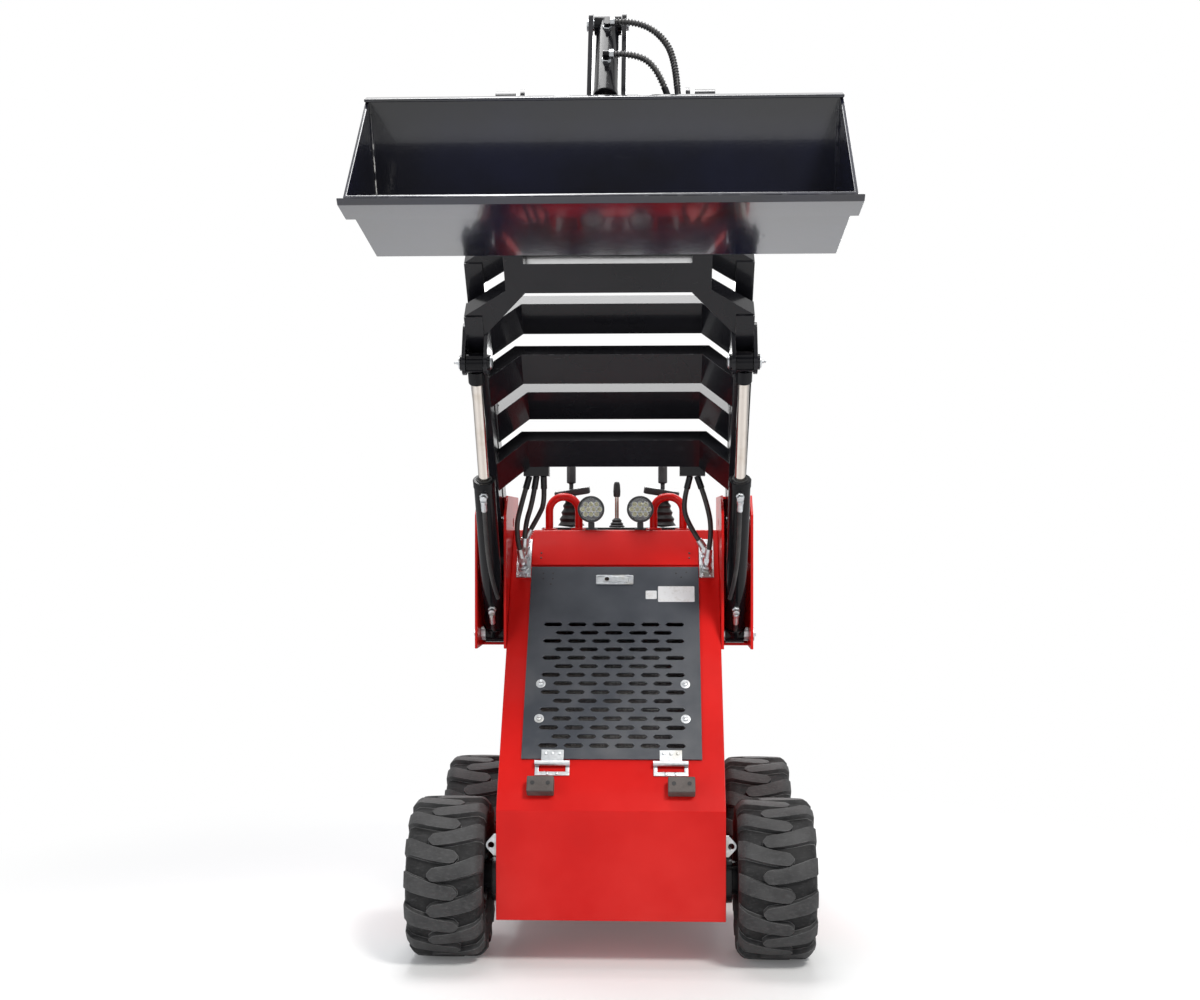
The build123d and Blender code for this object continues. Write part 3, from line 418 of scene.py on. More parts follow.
MAKERS = {
    "red": red_enamel,
    "black": black_enamel,
    "barrel": cylinder_enamel,
    "plate": bucket_enamel,
    "grille": powder_coat,
    "zinc": zinc_plate,
    "chrome": chromed,
    "tyre": carcass_rubber_painted_shade,
    "lug": lug_rubber,
    "rubber": lambda: moulded("black rubber", (0.010, 0.010, 0.011), 0.55),
    "stop": lambda: moulded("stop rubber", (0.060, 0.050, 0.046), 0.60),
    "plastic": lambda: moulded("black plastic", (0.022, 0.022, 0.024), 0.38, 0.0001, 500.0),
    "hose": braided,
    "guard": lambda: moulded("hose guard", (0.03, 0.03, 0.032), 0.42, 0.00008, 200.0),
    "engine": cast_iron,
    "fins": radiator_fins,
    "lens": lamp_glass,
    "mirror": mirror_cup,
    "label": blank_label,
    "led": lambda: moulded("lamp chip", (0.80, 0.72, 0.30), 0.3, 0.00005, 900.0),
}
MADE = {}


def finish(name):
    """A finish by its plain name, made the first time that it is asked for."""
    if name not in MADE:
        MADE[name] = MAKERS[name]()
    return MADE[name]


def door_point(x, up, out=DOOR_THICK):
    """A point on the slope: up from the door's foot, and out from the slope's plate."""
    return DOOR_FOOT + ACROSS * x + SLOPE_UP * up + SLOPE_OUT * out


def link_point(pivot, x, along, above=0.0):
    """A point in a lift link's own frame, from its pivot."""
    start = PIVOT[pivot]
    return Vector((x, start.y, start.z)) + LINK_ALONG * along + LINK_ABOVE * above


def axes(first, second):
    """A turn that lays a shape's x along first and its y along second."""
    first = Vector(first).normalized()
    second = (Vector(second) - first * first.dot(second)).normalized()
    return Matrix((first, second, first.cross(second))).transposed().to_4x4()


def sharp(mesh, degrees):
    limit = math.radians(degrees)
    return [e for e in mesh.edges if len(e.link_faces) == 2 and e.calc_face_angle() > limit]


def rounded(mesh, size, segments=2, degrees=30.0):
    """A mesh with its sharp edges rounded off."""
    edges = sharp(mesh, degrees)
    if edges:
        bmesh.ops.bevel(
            mesh, geom=edges, offset=size, offset_type="OFFSET", segments=segments,
            profile=0.5, affect="EDGES", clamp_overlap=True, material=-1,
        )
    return mesh


def turned(profile, start, along, steps=32, closed=False):
    """A shape spun round an axis, from (distance along, radius) points."""
    mesh = bmesh.new()
    along = Vector(along).normalized()
    side = along.orthogonal().normalized()
    verts = [mesh.verts.new(Vector(start) + along * a + side * r) for a, r in profile]
    edges = [mesh.edges.new(pair) for pair in zip(verts, verts[1:])]
    if closed:
        edges.append(mesh.edges.new((verts[-1], verts[0])))
    bmesh.ops.spin(
        mesh, geom=verts + edges, cent=start, axis=along, dvec=(0, 0, 0),
        angle=math.tau, steps=steps, use_merge=True,
    )
    bmesh.ops.remove_doubles(mesh, verts=mesh.verts, dist=0.00001)
    bmesh.ops.recalc_face_normals(mesh, faces=mesh.faces)
    return mesh


def slab(centre, size, turn=None, round_off=0.002, segments=2):
    """A block with rounded edges; turn lays its own x and y along other directions."""
    mesh = bmesh.new()
    bmesh.ops.create_cube(mesh, size=1.0)
    bmesh.ops.scale(mesh, vec=size, verts=mesh.verts)
    if round_off:
        rounded(mesh, min(round_off, min(size) * 0.45), segments)
    place = Matrix.Translation(centre) @ (turn or Matrix.Identity(4))
    bmesh.ops.transform(mesh, matrix=place, verts=mesh.verts)
    return mesh


def stadium(centre, size, turn, round_off, corner, segments=6):
    """A plate with round corners seen from above and softly broken edges."""
    mesh = bmesh.new()
    bmesh.ops.create_cube(mesh, size=1.0)
    bmesh.ops.scale(mesh, vec=size, verts=mesh.verts)
    upright = [e for e in mesh.edges if abs((e.verts[0].co - e.verts[1].co).z) > size[2] * 0.5]
    bmesh.ops.bevel(
        mesh, geom=upright, offset=corner, offset_type="OFFSET", segments=segments,
        profile=0.5, affect="EDGES", material=-1,
    )
    rounded(mesh, round_off, 2, 60.0)
    bmesh.ops.transform(mesh, matrix=Matrix.Translation(centre) @ turn, verts=mesh.verts)
    return mesh


def hexagon(place, along, radius, height):
    """A nut or bolt head with its corners turned off."""
    section = [(0, 0), (0, radius), (height * 0.85, radius), (height, radius * 0.88), (height, 0)]
    return turned(section, place, along, 6)


def bolt(place, along, radius):
    """A hexagon bolt on its washer."""
    along = Vector(along).normalized()
    thick = radius * 0.28
    washer = turned([(0, 0), (0, radius * 1.5), (thick, radius * 1.45), (thick, 0)], place, along, 20)
    head = hexagon(Vector(place) + along * thick, along, radius, radius * 1.1)
    return both_of(washer, head)


def dome(place, along, radius, height):
    """A round-headed screw."""
    steps = [(0, 0), (0, radius)]
    for n in range(1, 5):
        turn = math.radians(90 * n / 5)
        steps.append((height * math.sin(turn), radius * math.cos(turn) ** 0.6))
    return turned(steps + [(height, 0)], place, along, 18)


def both_of(*meshes):
    """Several meshes as one."""
    made = bmesh.new()
    for mesh in meshes:
        data = bpy.data.meshes.new("part")
        mesh.to_mesh(data)
        mesh.free()
        made.from_mesh(data)
        bpy.data.meshes.remove(data)
    return made


def nurbs(points, radius, sides=3, fine=8):
    """A NURBS route as a curve object, with a round section if it has a radius."""
    curve = bpy.data.curves.new("route", "CURVE")
    curve.dimensions = "3D"
    curve.resolution_u = fine
    curve.bevel_depth = radius
    curve.bevel_resolution = sides
    curve.use_fill_caps = radius > 0
    spline = curve.splines.new("NURBS")
    spline.points.add(len(points) - 1)
    for point, place in zip(spline.points, points):
        point.co = (*place, 1)
    spline.order_u = 3
    spline.use_endpoint_u = True
    made = bpy.data.objects.new("route", curve)
    bpy.context.scene.collection.objects.link(made)
    bpy.context.view_layer.update()
    return made


def tube(points, radius, sides=3, fine=8):
    """A round bar along a NURBS route, as a mesh."""
    route = nurbs(points, radius, sides, fine)
    data = bpy.data.meshes.new_from_object(route.evaluated_get(bpy.context.evaluated_depsgraph_get()))
    mesh = bmesh.new()
    mesh.from_mesh(data)
    bmesh.ops.remove_doubles(mesh, verts=mesh.verts, dist=0.00001)
    bmesh.ops.recalc_face_normals(mesh, faces=mesh.faces)
    bpy.data.meshes.remove(data)
    drop(route)
    return mesh


def route_points(points, fine=8):
    """The places that a NURBS route passes through."""
    route = nurbs(points, 0.0, fine=fine)
    data = bpy.data.meshes.new_from_object(route.evaluated_get(bpy.context.evaluated_depsgraph_get()))
    places = [v.co.copy() for v in data.vertices]
    bpy.data.meshes.remove(data)
    drop(route)
    return places


def drop(thing):
    data = thing.data
    bpy.data.objects.remove(thing)
    bpy.data.curves.remove(data)


def bead(points, radius=0.0035):
    """A weld bead: a low round run with its ripples, half sunk in the seam."""
    mesh = tube(points, radius, 2, 12)
    for vert in mesh.verts:
        ripple = math.sin(900.0 * (vert.co.x + vert.co.y * 1.3 + vert.co.z * 0.7))
        vert.co += vert.normal * ripple * radius * 0.10
    return mesh


class Shape:
    """Several solids gathered into one piece, each with its own finish."""

    def __init__(self):
        self.mesh = bmesh.new()
        self.finishes = []

    def add(self, part, name, mirrored=False):
        if name not in self.finishes:
            self.finishes.append(name)
        for face in part.faces:
            face.material_index = self.finishes.index(name)
        data = bpy.data.meshes.new("part")
        part.to_mesh(data)
        self.mesh.from_mesh(data)
        if mirrored:
            bmesh.ops.scale(part, vec=(-1, 1, 1), verts=part.verts)
            bmesh.ops.reverse_faces(part, faces=part.faces)
            part.to_mesh(data)
            self.mesh.from_mesh(data)
        part.free()
        bpy.data.meshes.remove(data)
        return self

    def place(self, name, body, slot, stands_for=(), crease=42.0, blend=None):
        """The finished piece, riding on a body, or baked into place on no body when it is given ends."""
        limit = math.radians(crease)
        for face in self.mesh.faces:
            face.smooth = True
        for edge in self.mesh.edges:
            edge.smooth = len(edge.link_faces) == 2 and edge.calc_face_angle() < limit
        data = bpy.data.meshes.new(name)
        self.mesh.to_mesh(data)
        self.mesh.free()
        for item in self.finishes:
            data.materials.append(finish(item))
        made = bpy.data.objects.new(name, data)
        bpy.context.scene.collection.objects.link(made)
        even = made.modifiers.new("even shading", "WEIGHTED_NORMAL")
        even.keep_sharp = True
        if blend:
            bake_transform(made)
        else:
            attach(made, body)
        if stands_for:
            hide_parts(*stands_for)
        return made


def solid_of(node, round_off, segments=2, degrees=30.0):
    """A CAD node's own solid with its edges broken, as grinding and paint leave them."""
    mesh = bmesh.new()
    mesh.from_mesh(NODES[node].data)
    bmesh.ops.remove_doubles(mesh, verts=mesh.verts, dist=0.00002)
    bmesh.ops.dissolve_limit(
        mesh, angle_limit=math.radians(0.4), verts=mesh.verts, edges=mesh.edges
    )
    return rounded(mesh, round_off, segments, degrees)


def dressed(node, name, look, slot, round_off=0.002, segments=2, extras=()):
    """The piece that stands for one CAD node, with what is fastened to it."""
    shape = Shape().add(solid_of(node, round_off, segments), look)
    for part, part_look, mirrored in extras:
        shape.add(part, part_look, mirrored)
    return shape.place(name, BODY_OF[node], slot, (node,))


class LoaderColours(bpy.types.PropertyGroup):
    body_red: bpy.props.FloatVectorProperty(
        name="Body red", description="Enamel of the body, towers and hoops", subtype="COLOR",
        size=3, min=0.0, max=1.0, default=(0.66, 0.009, 0.007),
    )
    arm_black: bpy.props.FloatVectorProperty(
        name="Arm black", description="Enamel of the arms, mast, cylinders and bucket",
        subtype="COLOR", size=3, min=0.0, max=1.0, default=(0.006, 0.006, 0.008),
    )
    floor: bpy.props.FloatVectorProperty(
        name="Floor", description="The studio floor", subtype="COLOR",
        size=3, min=0.0, max=1.0, default=(0.86, 0.86, 0.86),
    )


class LoaderSizes(bpy.types.PropertyGroup):
    lugs_a_side: bpy.props.IntProperty(
        name="Lugs a side", description="Tread lugs on each side of a tyre", default=14, min=6,
    )
    lug_height: bpy.props.FloatProperty(
        name="Lug height", description="How far the lugs stand out of the tread",
        unit="LENGTH", default=0.016,
    )
    edge_round: bpy.props.FloatProperty(
        name="Edge rounding", description="Radius on the edges of painted plates",
        unit="LENGTH", default=0.0022,
    )
    hose: bpy.props.FloatProperty(
        name="Lift hose", description="Outside diameter of the lift hoses",
        unit="LENGTH", default=0.016,
    )
    tilt_hose: bpy.props.FloatProperty(
        name="Tilt hose", description="Outside diameter of the tilt cylinder's hoses",
        unit="LENGTH", default=0.013,
    )
    weld: bpy.props.FloatProperty(
        name="Weld bead", description="Radius of the weld beads", unit="LENGTH", default=0.0035,
    )


def sizes():
    return bpy.context.scene.loader_sizes


def pin_head(reach, centre):
    """A nut on the end of a crosswise pin that reaches this far out, round its centre line."""
    place = Vector((reach - 0.0004, centre.y, centre.z))
    return hexagon(place, ACROSS, 0.009, 0.006)


def cowl_screws():
    """The cowl's small dark screws, in the form that dressed() takes."""
    face = 0.0043
    return [
        (dome(door_point(x, up, face), SLOPE_OUT, 0.0032, 0.001), "rubber", False)
        for x in (-0.232, 0.232) for up in (0.690, 0.708)
    ]


def rubber_stops():
    """The arms' rubber stops on the slope, with a dark rubber disc of painted shade in each of their screw
    holes.
    """
    hole_shade_disc = ((0, 0), (0, 0.0062), (0.0006, 0.0062), (0.0006, 0))
    down, face = -0.0876, 0.0342
    stops = Shape().add(solid_of("rubber_stops", 0.0035, 3), "stop")
    # Each screw hole is a thin dark rubber disc on the stop's face: painted shade.
    for x in (0.178, 0.222):
        stops.add(turned(hole_shade_disc, door_point(x, down, face), SLOPE_OUT, 20), "rubber", True)
    stops.place("stops", "root", "rubber", ("rubber_stops",))


def hinge_feet():
    """The body's part of each door hinge: two arms down to a screwed foot."""
    turn = axes(ACROSS, SLOPE_UP)
    thick, middle, foot_down = 0.0032, 0.0022, -0.0450
    feet = Shape()
    for x in (0.126, 0.214):
        arm = door_point(x, -0.0285, middle)
        feet.add(slab(arm, (0.011, 0.026, thick), turn, 0.0010), "zinc", True)
    foot = door_point(0.170, foot_down, middle)
    feet.add(slab(foot, (0.099, 0.012, thick), turn, 0.0010), "zinc", True)
    for x in (0.156, 0.184):
        screw = door_point(x, foot_down, middle + thick / 2)
        feet.add(dome(screw, SLOPE_OUT, 0.0050, 0.0028), "zinc", True)
    feet.place("hinge_feet", "root", "zinc")


def tower_pins():
    pins = Shape().add(solid_of("tower_pins", 0.0012), "zinc")
    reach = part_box("tower_pins")[1].x
    for name in ("lift", "upper_link_hinge", "lift_barrel_right_hinge"):
        pins.add(pin_head(reach, PIVOT[name]), "zinc", True)
    pins.place("tower_pin_heads", "root", "zinc", ("tower_pins",))


class LOADER_OT_body(bpy.types.Operator):
    """Red body with its cowl, towers, engine and radiator"""
    bl_idname = "loader.body"
    bl_label = "Body"

    def execute(self, context):
        edge = sizes().edge_round
        dressed("chassis_body", "body_shell", "red", "red_paint", edge)
        dressed("cowl_panel", "cowl", "red", "red_paint", 0.0012, 2, cowl_screws())
        dressed("engine_block", "engine_mass", "engine", "engine_iron", 0.012, 3)
        dressed("radiator", "radiator_core", "fins", "radiator_fins", 0.003)
        for side, _ in SIDES:
            dressed(f"tower_{side}", f"tower_shell_{side}", "red", "red_paint", edge)
        rubber_stops()
        dressed("tie_downs", "tie_down_eyes", "zinc", "zinc", 0.0015)
        hinge_feet()
        tower_pins()
        return {"FINISHED"}


# Drilled holes in the door's upper corners, each drawn as a dark rubber dome of painted shade: across, and
# up the door
STAY_HOLES = (
    (-0.222, 0.632), (-0.192, 0.632), (-0.222, 0.612), (-0.192, 0.612), (-0.198, 0.592),
    (0.190, 0.632), (0.222, 0.636), (0.206, 0.618),
)
# Bare films: across, up the door, width and height
LABELS = ((0.190, 0.556, 0.112, 0.056), (0.113, 0.553, 0.034, 0.030))
# The latch plate's raised border: across, up from its middle, width and height
LATCH_BORDER = (
    (0, 0.0145, 0.110, 0.003), (0, -0.0145, 0.110, 0.003),
    (0.0545, 0, 0.003, 0.030), (-0.0545, 0, 0.003, 0.030),
)
SCREW_WASHER = ((0, 0.0), (0, 0.0140), (0.0012, 0.0140), (0.0016, 0.0132), (0.0016, 0.0))
LOCK_CUP = ((0, 0), (0, 0.0075), (0.0020, 0.0070), (0.0020, 0.0045), (0.0008, 0.0040), (0.0008, 0))


def door_leaf():
    door = Shape().add(solid_of("grille_door", 0.0008, 1, 40.0), "grille")
    # Each drilled hole is a flat dark rubber dome on the door: painted shade where the hole is.
    for x, up in STAY_HOLES:
        door.add(dome(door_point(x, up), SLOPE_OUT, 0.0030, 0.0006), "rubber")
    door.place("slotted_door", "grille_door", "grille_grey", ("grille_door",))


def door_screws():
    """Four slotted screws on broad washers, each slot a dark rubber bar of painted shade."""
    turn = axes(ACROSS, SLOPE_UP)
    screws = Shape()
    for x in (-0.214, 0.214):
        for up in (0.243, 0.128):
            head = DOOR_THICK + 0.0016
            screws.add(turned(SCREW_WASHER, door_point(x, up), SLOPE_OUT, 32), "zinc")
            screws.add(dome(door_point(x, up, head), SLOPE_OUT, 0.0082, 0.0050), "zinc")
            # Each screw's slot is a dark rubber bar on its head: painted shade in the slot.
            slot = door_point(x, up, head + 0.0048)
            screws.add(slab(slot, (0.010, 0.0014, 0.0012), turn, 0.0), "rubber")
    screws.place("door_screws", "grille_door", "zinc")


def bare_labels():
    turn = axes(ACROSS, SLOPE_UP)
    films = Shape()
    for x, up, wide, tall in LABELS:
        middle = door_point(x, up, DOOR_THICK + 0.0004)
        films.add(stadium(middle, (wide, tall, 0.0006), turn, 0.0001, 0.003), "label")
    films.place("bare_labels", "grille_door", "grille_grey")


def latch_plate():
    """A pressed plate with a raised border, a long boss and its lock, whose keyway is a dark rubber bar of
    painted shade.
    """
    turn = axes(ACROSS, SLOPE_UP)
    low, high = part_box("door_latch")
    middle = (low + high) / 2 - SLOPE_OUT * 0.0028
    latch = Shape()
    latch.add(stadium(middle, (0.116, 0.034, 0.003), turn, 0.0008, 0.004), "zinc")
    for x, up, wide, tall in LATCH_BORDER:
        centre = middle + ACROSS * x + SLOPE_UP * up + SLOPE_OUT * 0.0021
        latch.add(slab(centre, (wide, tall, 0.0024), turn, 0.0006), "zinc")
    boss = middle + ACROSS * 0.004 + SLOPE_OUT * 0.0025
    latch.add(stadium(boss, (0.078, 0.021, 0.004), turn, 0.001, 0.009), "zinc")
    lock = middle - ACROSS * 0.024 + SLOPE_OUT * 0.0040
    latch.add(turned(LOCK_CUP, lock, SLOPE_OUT, 24), "chrome")
    # The lock's keyway is a dark rubber bar: painted shade in the slot.
    latch.add(slab(lock + SLOPE_OUT * 0.0009, (0.0012, 0.006, 0.0008), turn, 0.0), "rubber")
    latch.place("door_latch_plate", "grille_door", "zinc", ("door_latch",))


def hinge_leaves():
    """The door's hinge leaves with their screws and knuckle rings."""
    ring = ((-0.0008, 0.0070), (-0.0008, 0.0087), (0.0008, 0.0087), (0.0008, 0.0070))
    axle = PIVOT["grille_door_hinge"]
    first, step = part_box("door_hinges")[1].x - 0.0005, 0.0198
    hinges = Shape().add(solid_of("door_hinges", 0.0008), "zinc")
    for x in (0.150, 0.170, 0.190):
        hinges.add(dome(door_point(x, 0.0150, 0.0108), SLOPE_OUT, 0.0052, 0.0030), "zinc", True)
    for n in range(6):
        knuckle = Vector((first - n * step, axle.y, axle.z))
        hinges.add(turned(ring, knuckle, ACROSS, 24, closed=True), "zinc", True)
    hinges.place("hinge_leaves", "grille_door", "zinc", ("door_hinges",))


class LOADER_OT_door(bpy.types.Operator):
    """Slotted grille door with hinges, latch, screws and bare labels"""
    bl_idname = "loader.door"
    bl_label = "Grille door"

    def execute(self, context):
        door_leaf()
        door_screws()
        bare_labels()
        latch_plate()
        hinge_leaves()
        return {"FINISHED"}


def crown(a, half, base):
    """The tread's own radius at a distance from the tyre's middle."""
    share = abs(a) / half
    return base - 0.0035 * share ** 2 - 0.020 * max(0.0, (share - 0.74) / 0.26) ** 2


def tread_lug(half, base, height, side):
    """One bent lug from the shoulder past the middle, laid on the tread."""
    past_middle, bend, half_wide, flare, draft, sunk = 0.042, 0.036, 0.0175, 0.0065, 0.003, 0.010
    mesh = bmesh.new()
    bmesh.ops.create_grid(mesh, x_segments=14, y_segments=4, size=1.0)
    top = bmesh.ops.extrude_face_region(mesh, geom=list(mesh.faces))["geom"]
    for vert in (v for v in top if isinstance(v, bmesh.types.BMVert)):
        vert.co.z = 1.0
    for vert in mesh.verts:
        run, across, on_top = (vert.co.x + 1) / 2, vert.co.y, vert.co.z > 0.5
        a = -half + 0.0008 + (half + past_middle) * run
        wide = half_wide + flare * (1 - run) ** 1.5
        wide *= math.sqrt(max(0.03, 1 - max(0.0, (run - 0.86) / 0.14) ** 2))
        c = bend * (1 - run) ** 1.8 + across * (wide if on_top else wide + draft)
        shoulder = max(0.0, (abs(a) / half - 0.86) / 0.14)
        reach = crown(a, half, base) + (height * (1.0 - 0.10 * shoulder) if on_top else -sunk)
        turn = c / base
        vert.co = (a * side, reach * math.sin(turn), reach * math.cos(turn))
    bmesh.ops.recalc_face_normals(mesh, faces=mesh.faces)
    return rounded(mesh, 0.0014, 2, 50.0)


# The tyre's side: share of its half width, and how far under the tread's foot
SIDEWALL = (
    (0.93, 0.0150), (0.985, 0.0300), (1.0, 0.0480), (0.995, 0.0620), (0.965, 0.0740), (0.975, 0.0765),
    (0.960, 0.0800), (0.905, 0.0960), (0.915, 0.0985), (0.890, 0.1020), (0.862, 0.1075),
)
BEAD_SEAT = (0.80, 0.1036)


def tyre_meshes():
    """One tyre about the X axis at its middle: its carcass with beads, and its lugs."""
    low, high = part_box("tyre_front_right")
    half = (high.x - low.x) / 2
    height = sizes().lug_height
    base = (high.z - low.z) / 2 - height
    side = [(0.0, base)]
    side += [(share * half, crown(share * half, half, base)) for share in (0.30, 0.60, 0.80)]
    side += [(share * half, base - under) for share, under in SIDEWALL]
    side.append((BEAD_SEAT[0] * half, BEAD_SEAT[1]))
    profile = [(-a, r) for a, r in reversed(side[1:])] + side
    carcass = turned(profile, (0, 0, 0), ACROSS, 84, closed=True)
    count = sizes().lugs_a_side
    lugs = []
    for half_of, offset in ((-1, 0.0), (1, 0.5)):
        one = tread_lug(half, base, height, half_of)
        for n in range(count):
            lug = one.copy()
            turn = Matrix.Rotation(math.tau * (n + offset) / count, 3, "X")
            bmesh.ops.rotate(lug, cent=(0, 0, 0), matrix=turn, verts=lug.verts)
            lugs.append(lug)
        one.free()
    return carcass, both_of(*lugs)


# The pressed rim's section: distance out from the wheel's middle, and radius
RIM_SECTION = (
    (-0.0946, 0.1030), (-0.0905, 0.1030), (0.0905, 0.1030), (0.0946, 0.1030), (0.0958, 0.1000),
    (0.0946, 0.0970), (0.0473, 0.0870), (0.0260, 0.0870), (0.0195, 0.0800), (0.0160, 0.0640),
    (0.0190, 0.0560), (0.0190, 0.0420), (0.0151, 0.0400), (0.0151, 0.0322), (0.0057, 0.0322),
    (0.0057, 0.0620), (0.0097, 0.0870), (-0.0473, 0.0870), (-0.0946, 0.0970),
)
HUB_CAP = ((0, 0), (0, 0.026), (0.006, 0.026), (0.010, 0.022), (0.010, 0))
VALVE_STEM = (
    (0, 0), (0, 0.0045), (0.028, 0.004), (0.028, 0.0032), (0.036, 0.0032), (0.036, 0),
)
WHEEL_NUTS, NUT_CIRCLE, NUT_SEAT = 5, 0.049, 0.0192


def placed(mesh, place):
    """A copy of a mesh at its place."""
    copy = mesh.copy()
    bmesh.ops.transform(copy, matrix=place, verts=copy.verts)
    return copy


def wheel(corner, carcass, lugs, rim):
    """A wheel's tyre, and its rim with nuts and valve."""
    body = f"wheel_{corner}"
    centre = PIVOT[f"{body}_spin"]
    outward = 1 if centre.x > 0 else -1
    place = Matrix.Translation(centre)
    # The carcass's finish is the rubber painted darker as shade between the lugs.
    tyre = Shape().add(placed(carcass, place), "tyre").add(placed(lugs, place), "lug")
    tyre.place(f"tyre_{corner}_dressed", body, "tyre", (f"tyre_{corner}",), 34.0)

    if outward < 0:
        place = place @ Matrix.Rotation(math.pi, 4, "Z")
    shape = Shape().add(placed(rim, place), "black")
    for n in range(WHEEL_NUTS):
        turn = math.tau * n / WHEEL_NUTS + 0.3
        round_at = Vector((0, NUT_CIRCLE * math.cos(turn), NUT_CIRCLE * math.sin(turn)))
        spot = centre + ACROSS * outward * NUT_SEAT + round_at
        shape.add(bolt(spot, (outward, 0, 0), 0.0075), "zinc")
    stem = centre + Vector((outward * 0.030, 0.062, 0.056))
    shape.add(turned(VALVE_STEM, stem, (outward, 0.2, 0.2), 12), "rubber")
    shape.place(f"rim_{corner}_dressed", body, "black_paint", (f"rim_{corner}",), 34.0)


def hubs():
    shape = Shape().add(solid_of("axle_hubs", 0.002), "black")
    for corner in CORNERS:
        centre = PIVOT[f"wheel_{corner}_spin"]
        outward = 1 if centre.x > 0 else -1
        end = Vector((outward * (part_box("axle_hubs")[1].x - 0.001), centre.y, centre.z))
        shape.add(turned(HUB_CAP, end, (outward, 0, 0), 32), "zinc")
    shape.place("axle_hub_set", "root", "black_paint", ("axle_hubs",))


class LOADER_OT_wheels(bpy.types.Operator):
    """Tyres with bent lugs, black rims with their nuts, and the hubs"""
    bl_idname = "loader.wheels"
    bl_label = "Wheels"

    def execute(self, context):
        carcass, lugs = tyre_meshes()
        rim = turned(RIM_SECTION, (0, 0, 0), ACROSS, 72, closed=True)
        for corner in CORNERS:
            wheel(corner, carcass, lugs, rim)
        for mesh in (carcass, lugs, rim):
            mesh.free()
        hubs()
        return {"FINISHED"}


def seam_round(place, radius, along, bead_radius):
    """A weld bead round a boss."""
    turns = [math.tau * n / 8 for n in range(8)]
    profile = [(bead_radius * math.cos(t), radius + bead_radius * math.sin(t)) for t in turns]
    return turned(profile, place, along, 40, closed=True)


# A crossbar's end seams: across, and above the link's middle line
SEAM = ((0.3425, 0.030), (0.352, 0.0355), (0.362, 0.0362))
CROSSBARS, BAR_HALF = (0.395, 0.713), 0.0525
CLEVIS_ALONG, CLEVIS_BELOW = 0.860, -0.072
PIN_COLLAR = ((0, 0), (0, 0.0175), (0.004, 0.017), (0.0055, 0.013), (0.0055, 0))
NIPPLE = ((0, 0), (0, 0.0045), (0.006, 0.0045), (0.008, 0.0025), (0.012, 0.0035), (0.014, 0))


def clevis_pins(shape):
    """The collars of the lift rods' pins, with a grease nipple on the outer ones."""
    for x, out in ((0.4105, 1), (0.3265, -1)):
        place = link_point("lift", x, CLEVIS_ALONG, CLEVIS_BELOW)
        shape.add(turned(PIN_COLLAR, place - ACROSS * out * 0.0005, ACROSS * out, 28), "zinc", True)
        if out > 0:
            shape.add(turned(NIPPLE, place + ACROSS * 0.004, ACROSS, 12), "zinc", True)


def arm_frame(node, pivot, name):
    """A lift link with the seams of its crossbars and bosses."""
    weld = sizes().weld
    shape = Shape().add(solid_of(node, sizes().edge_round * 1.6, 3), "black")
    for station in CROSSBARS:
        for end in (-BAR_HALF, BAR_HALF):
            seam = [link_point(pivot, x, station + end, above) for x, above in SEAM]
            shape.add(bead(seam, weld), "black", True)
    for x in (0.3435, 0.3935):
        shape.add(seam_round(link_point(pivot, x, 0), 0.0362, ACROSS, weld), "black", True)
    if node == "lower_link":
        clevis_pins(shape)
    shape.place(name, BODY_OF[node], "black_paint", (node,), 38.0)


class LOADER_OT_arms(bpy.types.Operator):
    """Both lift links with weld beads, clevises and pin heads"""
    bl_idname = "loader.arms"
    bl_label = "Lift arms"

    def execute(self, context):
        arm_frame("lower_link", "lift", "lower_arm_frame")
        arm_frame("upper_link", "upper_link_hinge", "upper_arm_frame")
        return {"FINISHED"}


# Sections along a cylinder from its foot's pin: distance, and radius
LIFT_GLAND = ((0.536, 0.0300), (0.536, 0.0328), (0.5562, 0.0328), (0.5586, 0.0305), (0.5586, 0.0180))
LIFT_WIPER = ((0.5583, 0.0168), (0.5583, 0.0235), (0.5610, 0.0225), (0.5610, 0.0168))
TILT_GLAND = ((0.302, 0.0290), (0.302, 0.0318), (0.3205, 0.0318), (0.3226, 0.0296), (0.3226, 0.0170))
PORT_STUB = ((0.008, 0), (0.008, 0.0085), (0.017, 0.0105), (0.022, 0.0095), (0.024, 0))
PIPE_NUT = ((0.016, 0.0), (0.016, 0.0085), (0.040, 0.0085), (0.042, 0.0078), (0.042, 0))
# Back from the middle of the rod's eye
ROD_COLLAR = (
    (-0.062, 0.0120), (-0.062, 0.0215), (-0.058, 0.0235), (-0.024, 0.0235), (-0.024, 0.0120),
)
ROD_EYE, EYE_PAINT = 0.028, 0.0008
OIL_PIPE = 0.0065
# The lift barrel's ports, and where their pipes end, both from its foot
UPPER_PORT, LOWER_PORT = (0.520, 0.158), (0.115, 0.062)
TILT_PORTS = (0.060, 0.205)


def oil_pipe(barrel, foot, along, out, inner, station, end_at):
    """A lift barrel's port with its elbow, and the pipe from it down the front."""
    port = foot + along * station + out * 0.029
    elbow = port + out * 0.017
    barrel.add(hexagon(port, out, 0.0125, 0.009), "zinc")
    barrel.add(turned(PORT_STUB, port, out, 24), "zinc")
    barrel.add(hexagon(elbow - along * 0.008, -along, 0.0098, 0.010), "zinc")
    barrel.add(turned(PIPE_NUT, elbow, -along, 24), "zinc")
    end = foot + along * end_at + out * 0.044
    line = [elbow - along * 0.040, elbow - along * 0.075]
    if (station, end_at) == UPPER_PORT:
        line += [elbow - along * 0.2, end + along * 0.05 + out * -0.004 + inner * 0.010,
                 end + out * -0.010 + inner * 0.020]
    else:
        line += [end + along * 0.03, end, end - along * 0.024 + out * -0.013]
    barrel.add(tube(line, OIL_PIPE, 3), "hose")


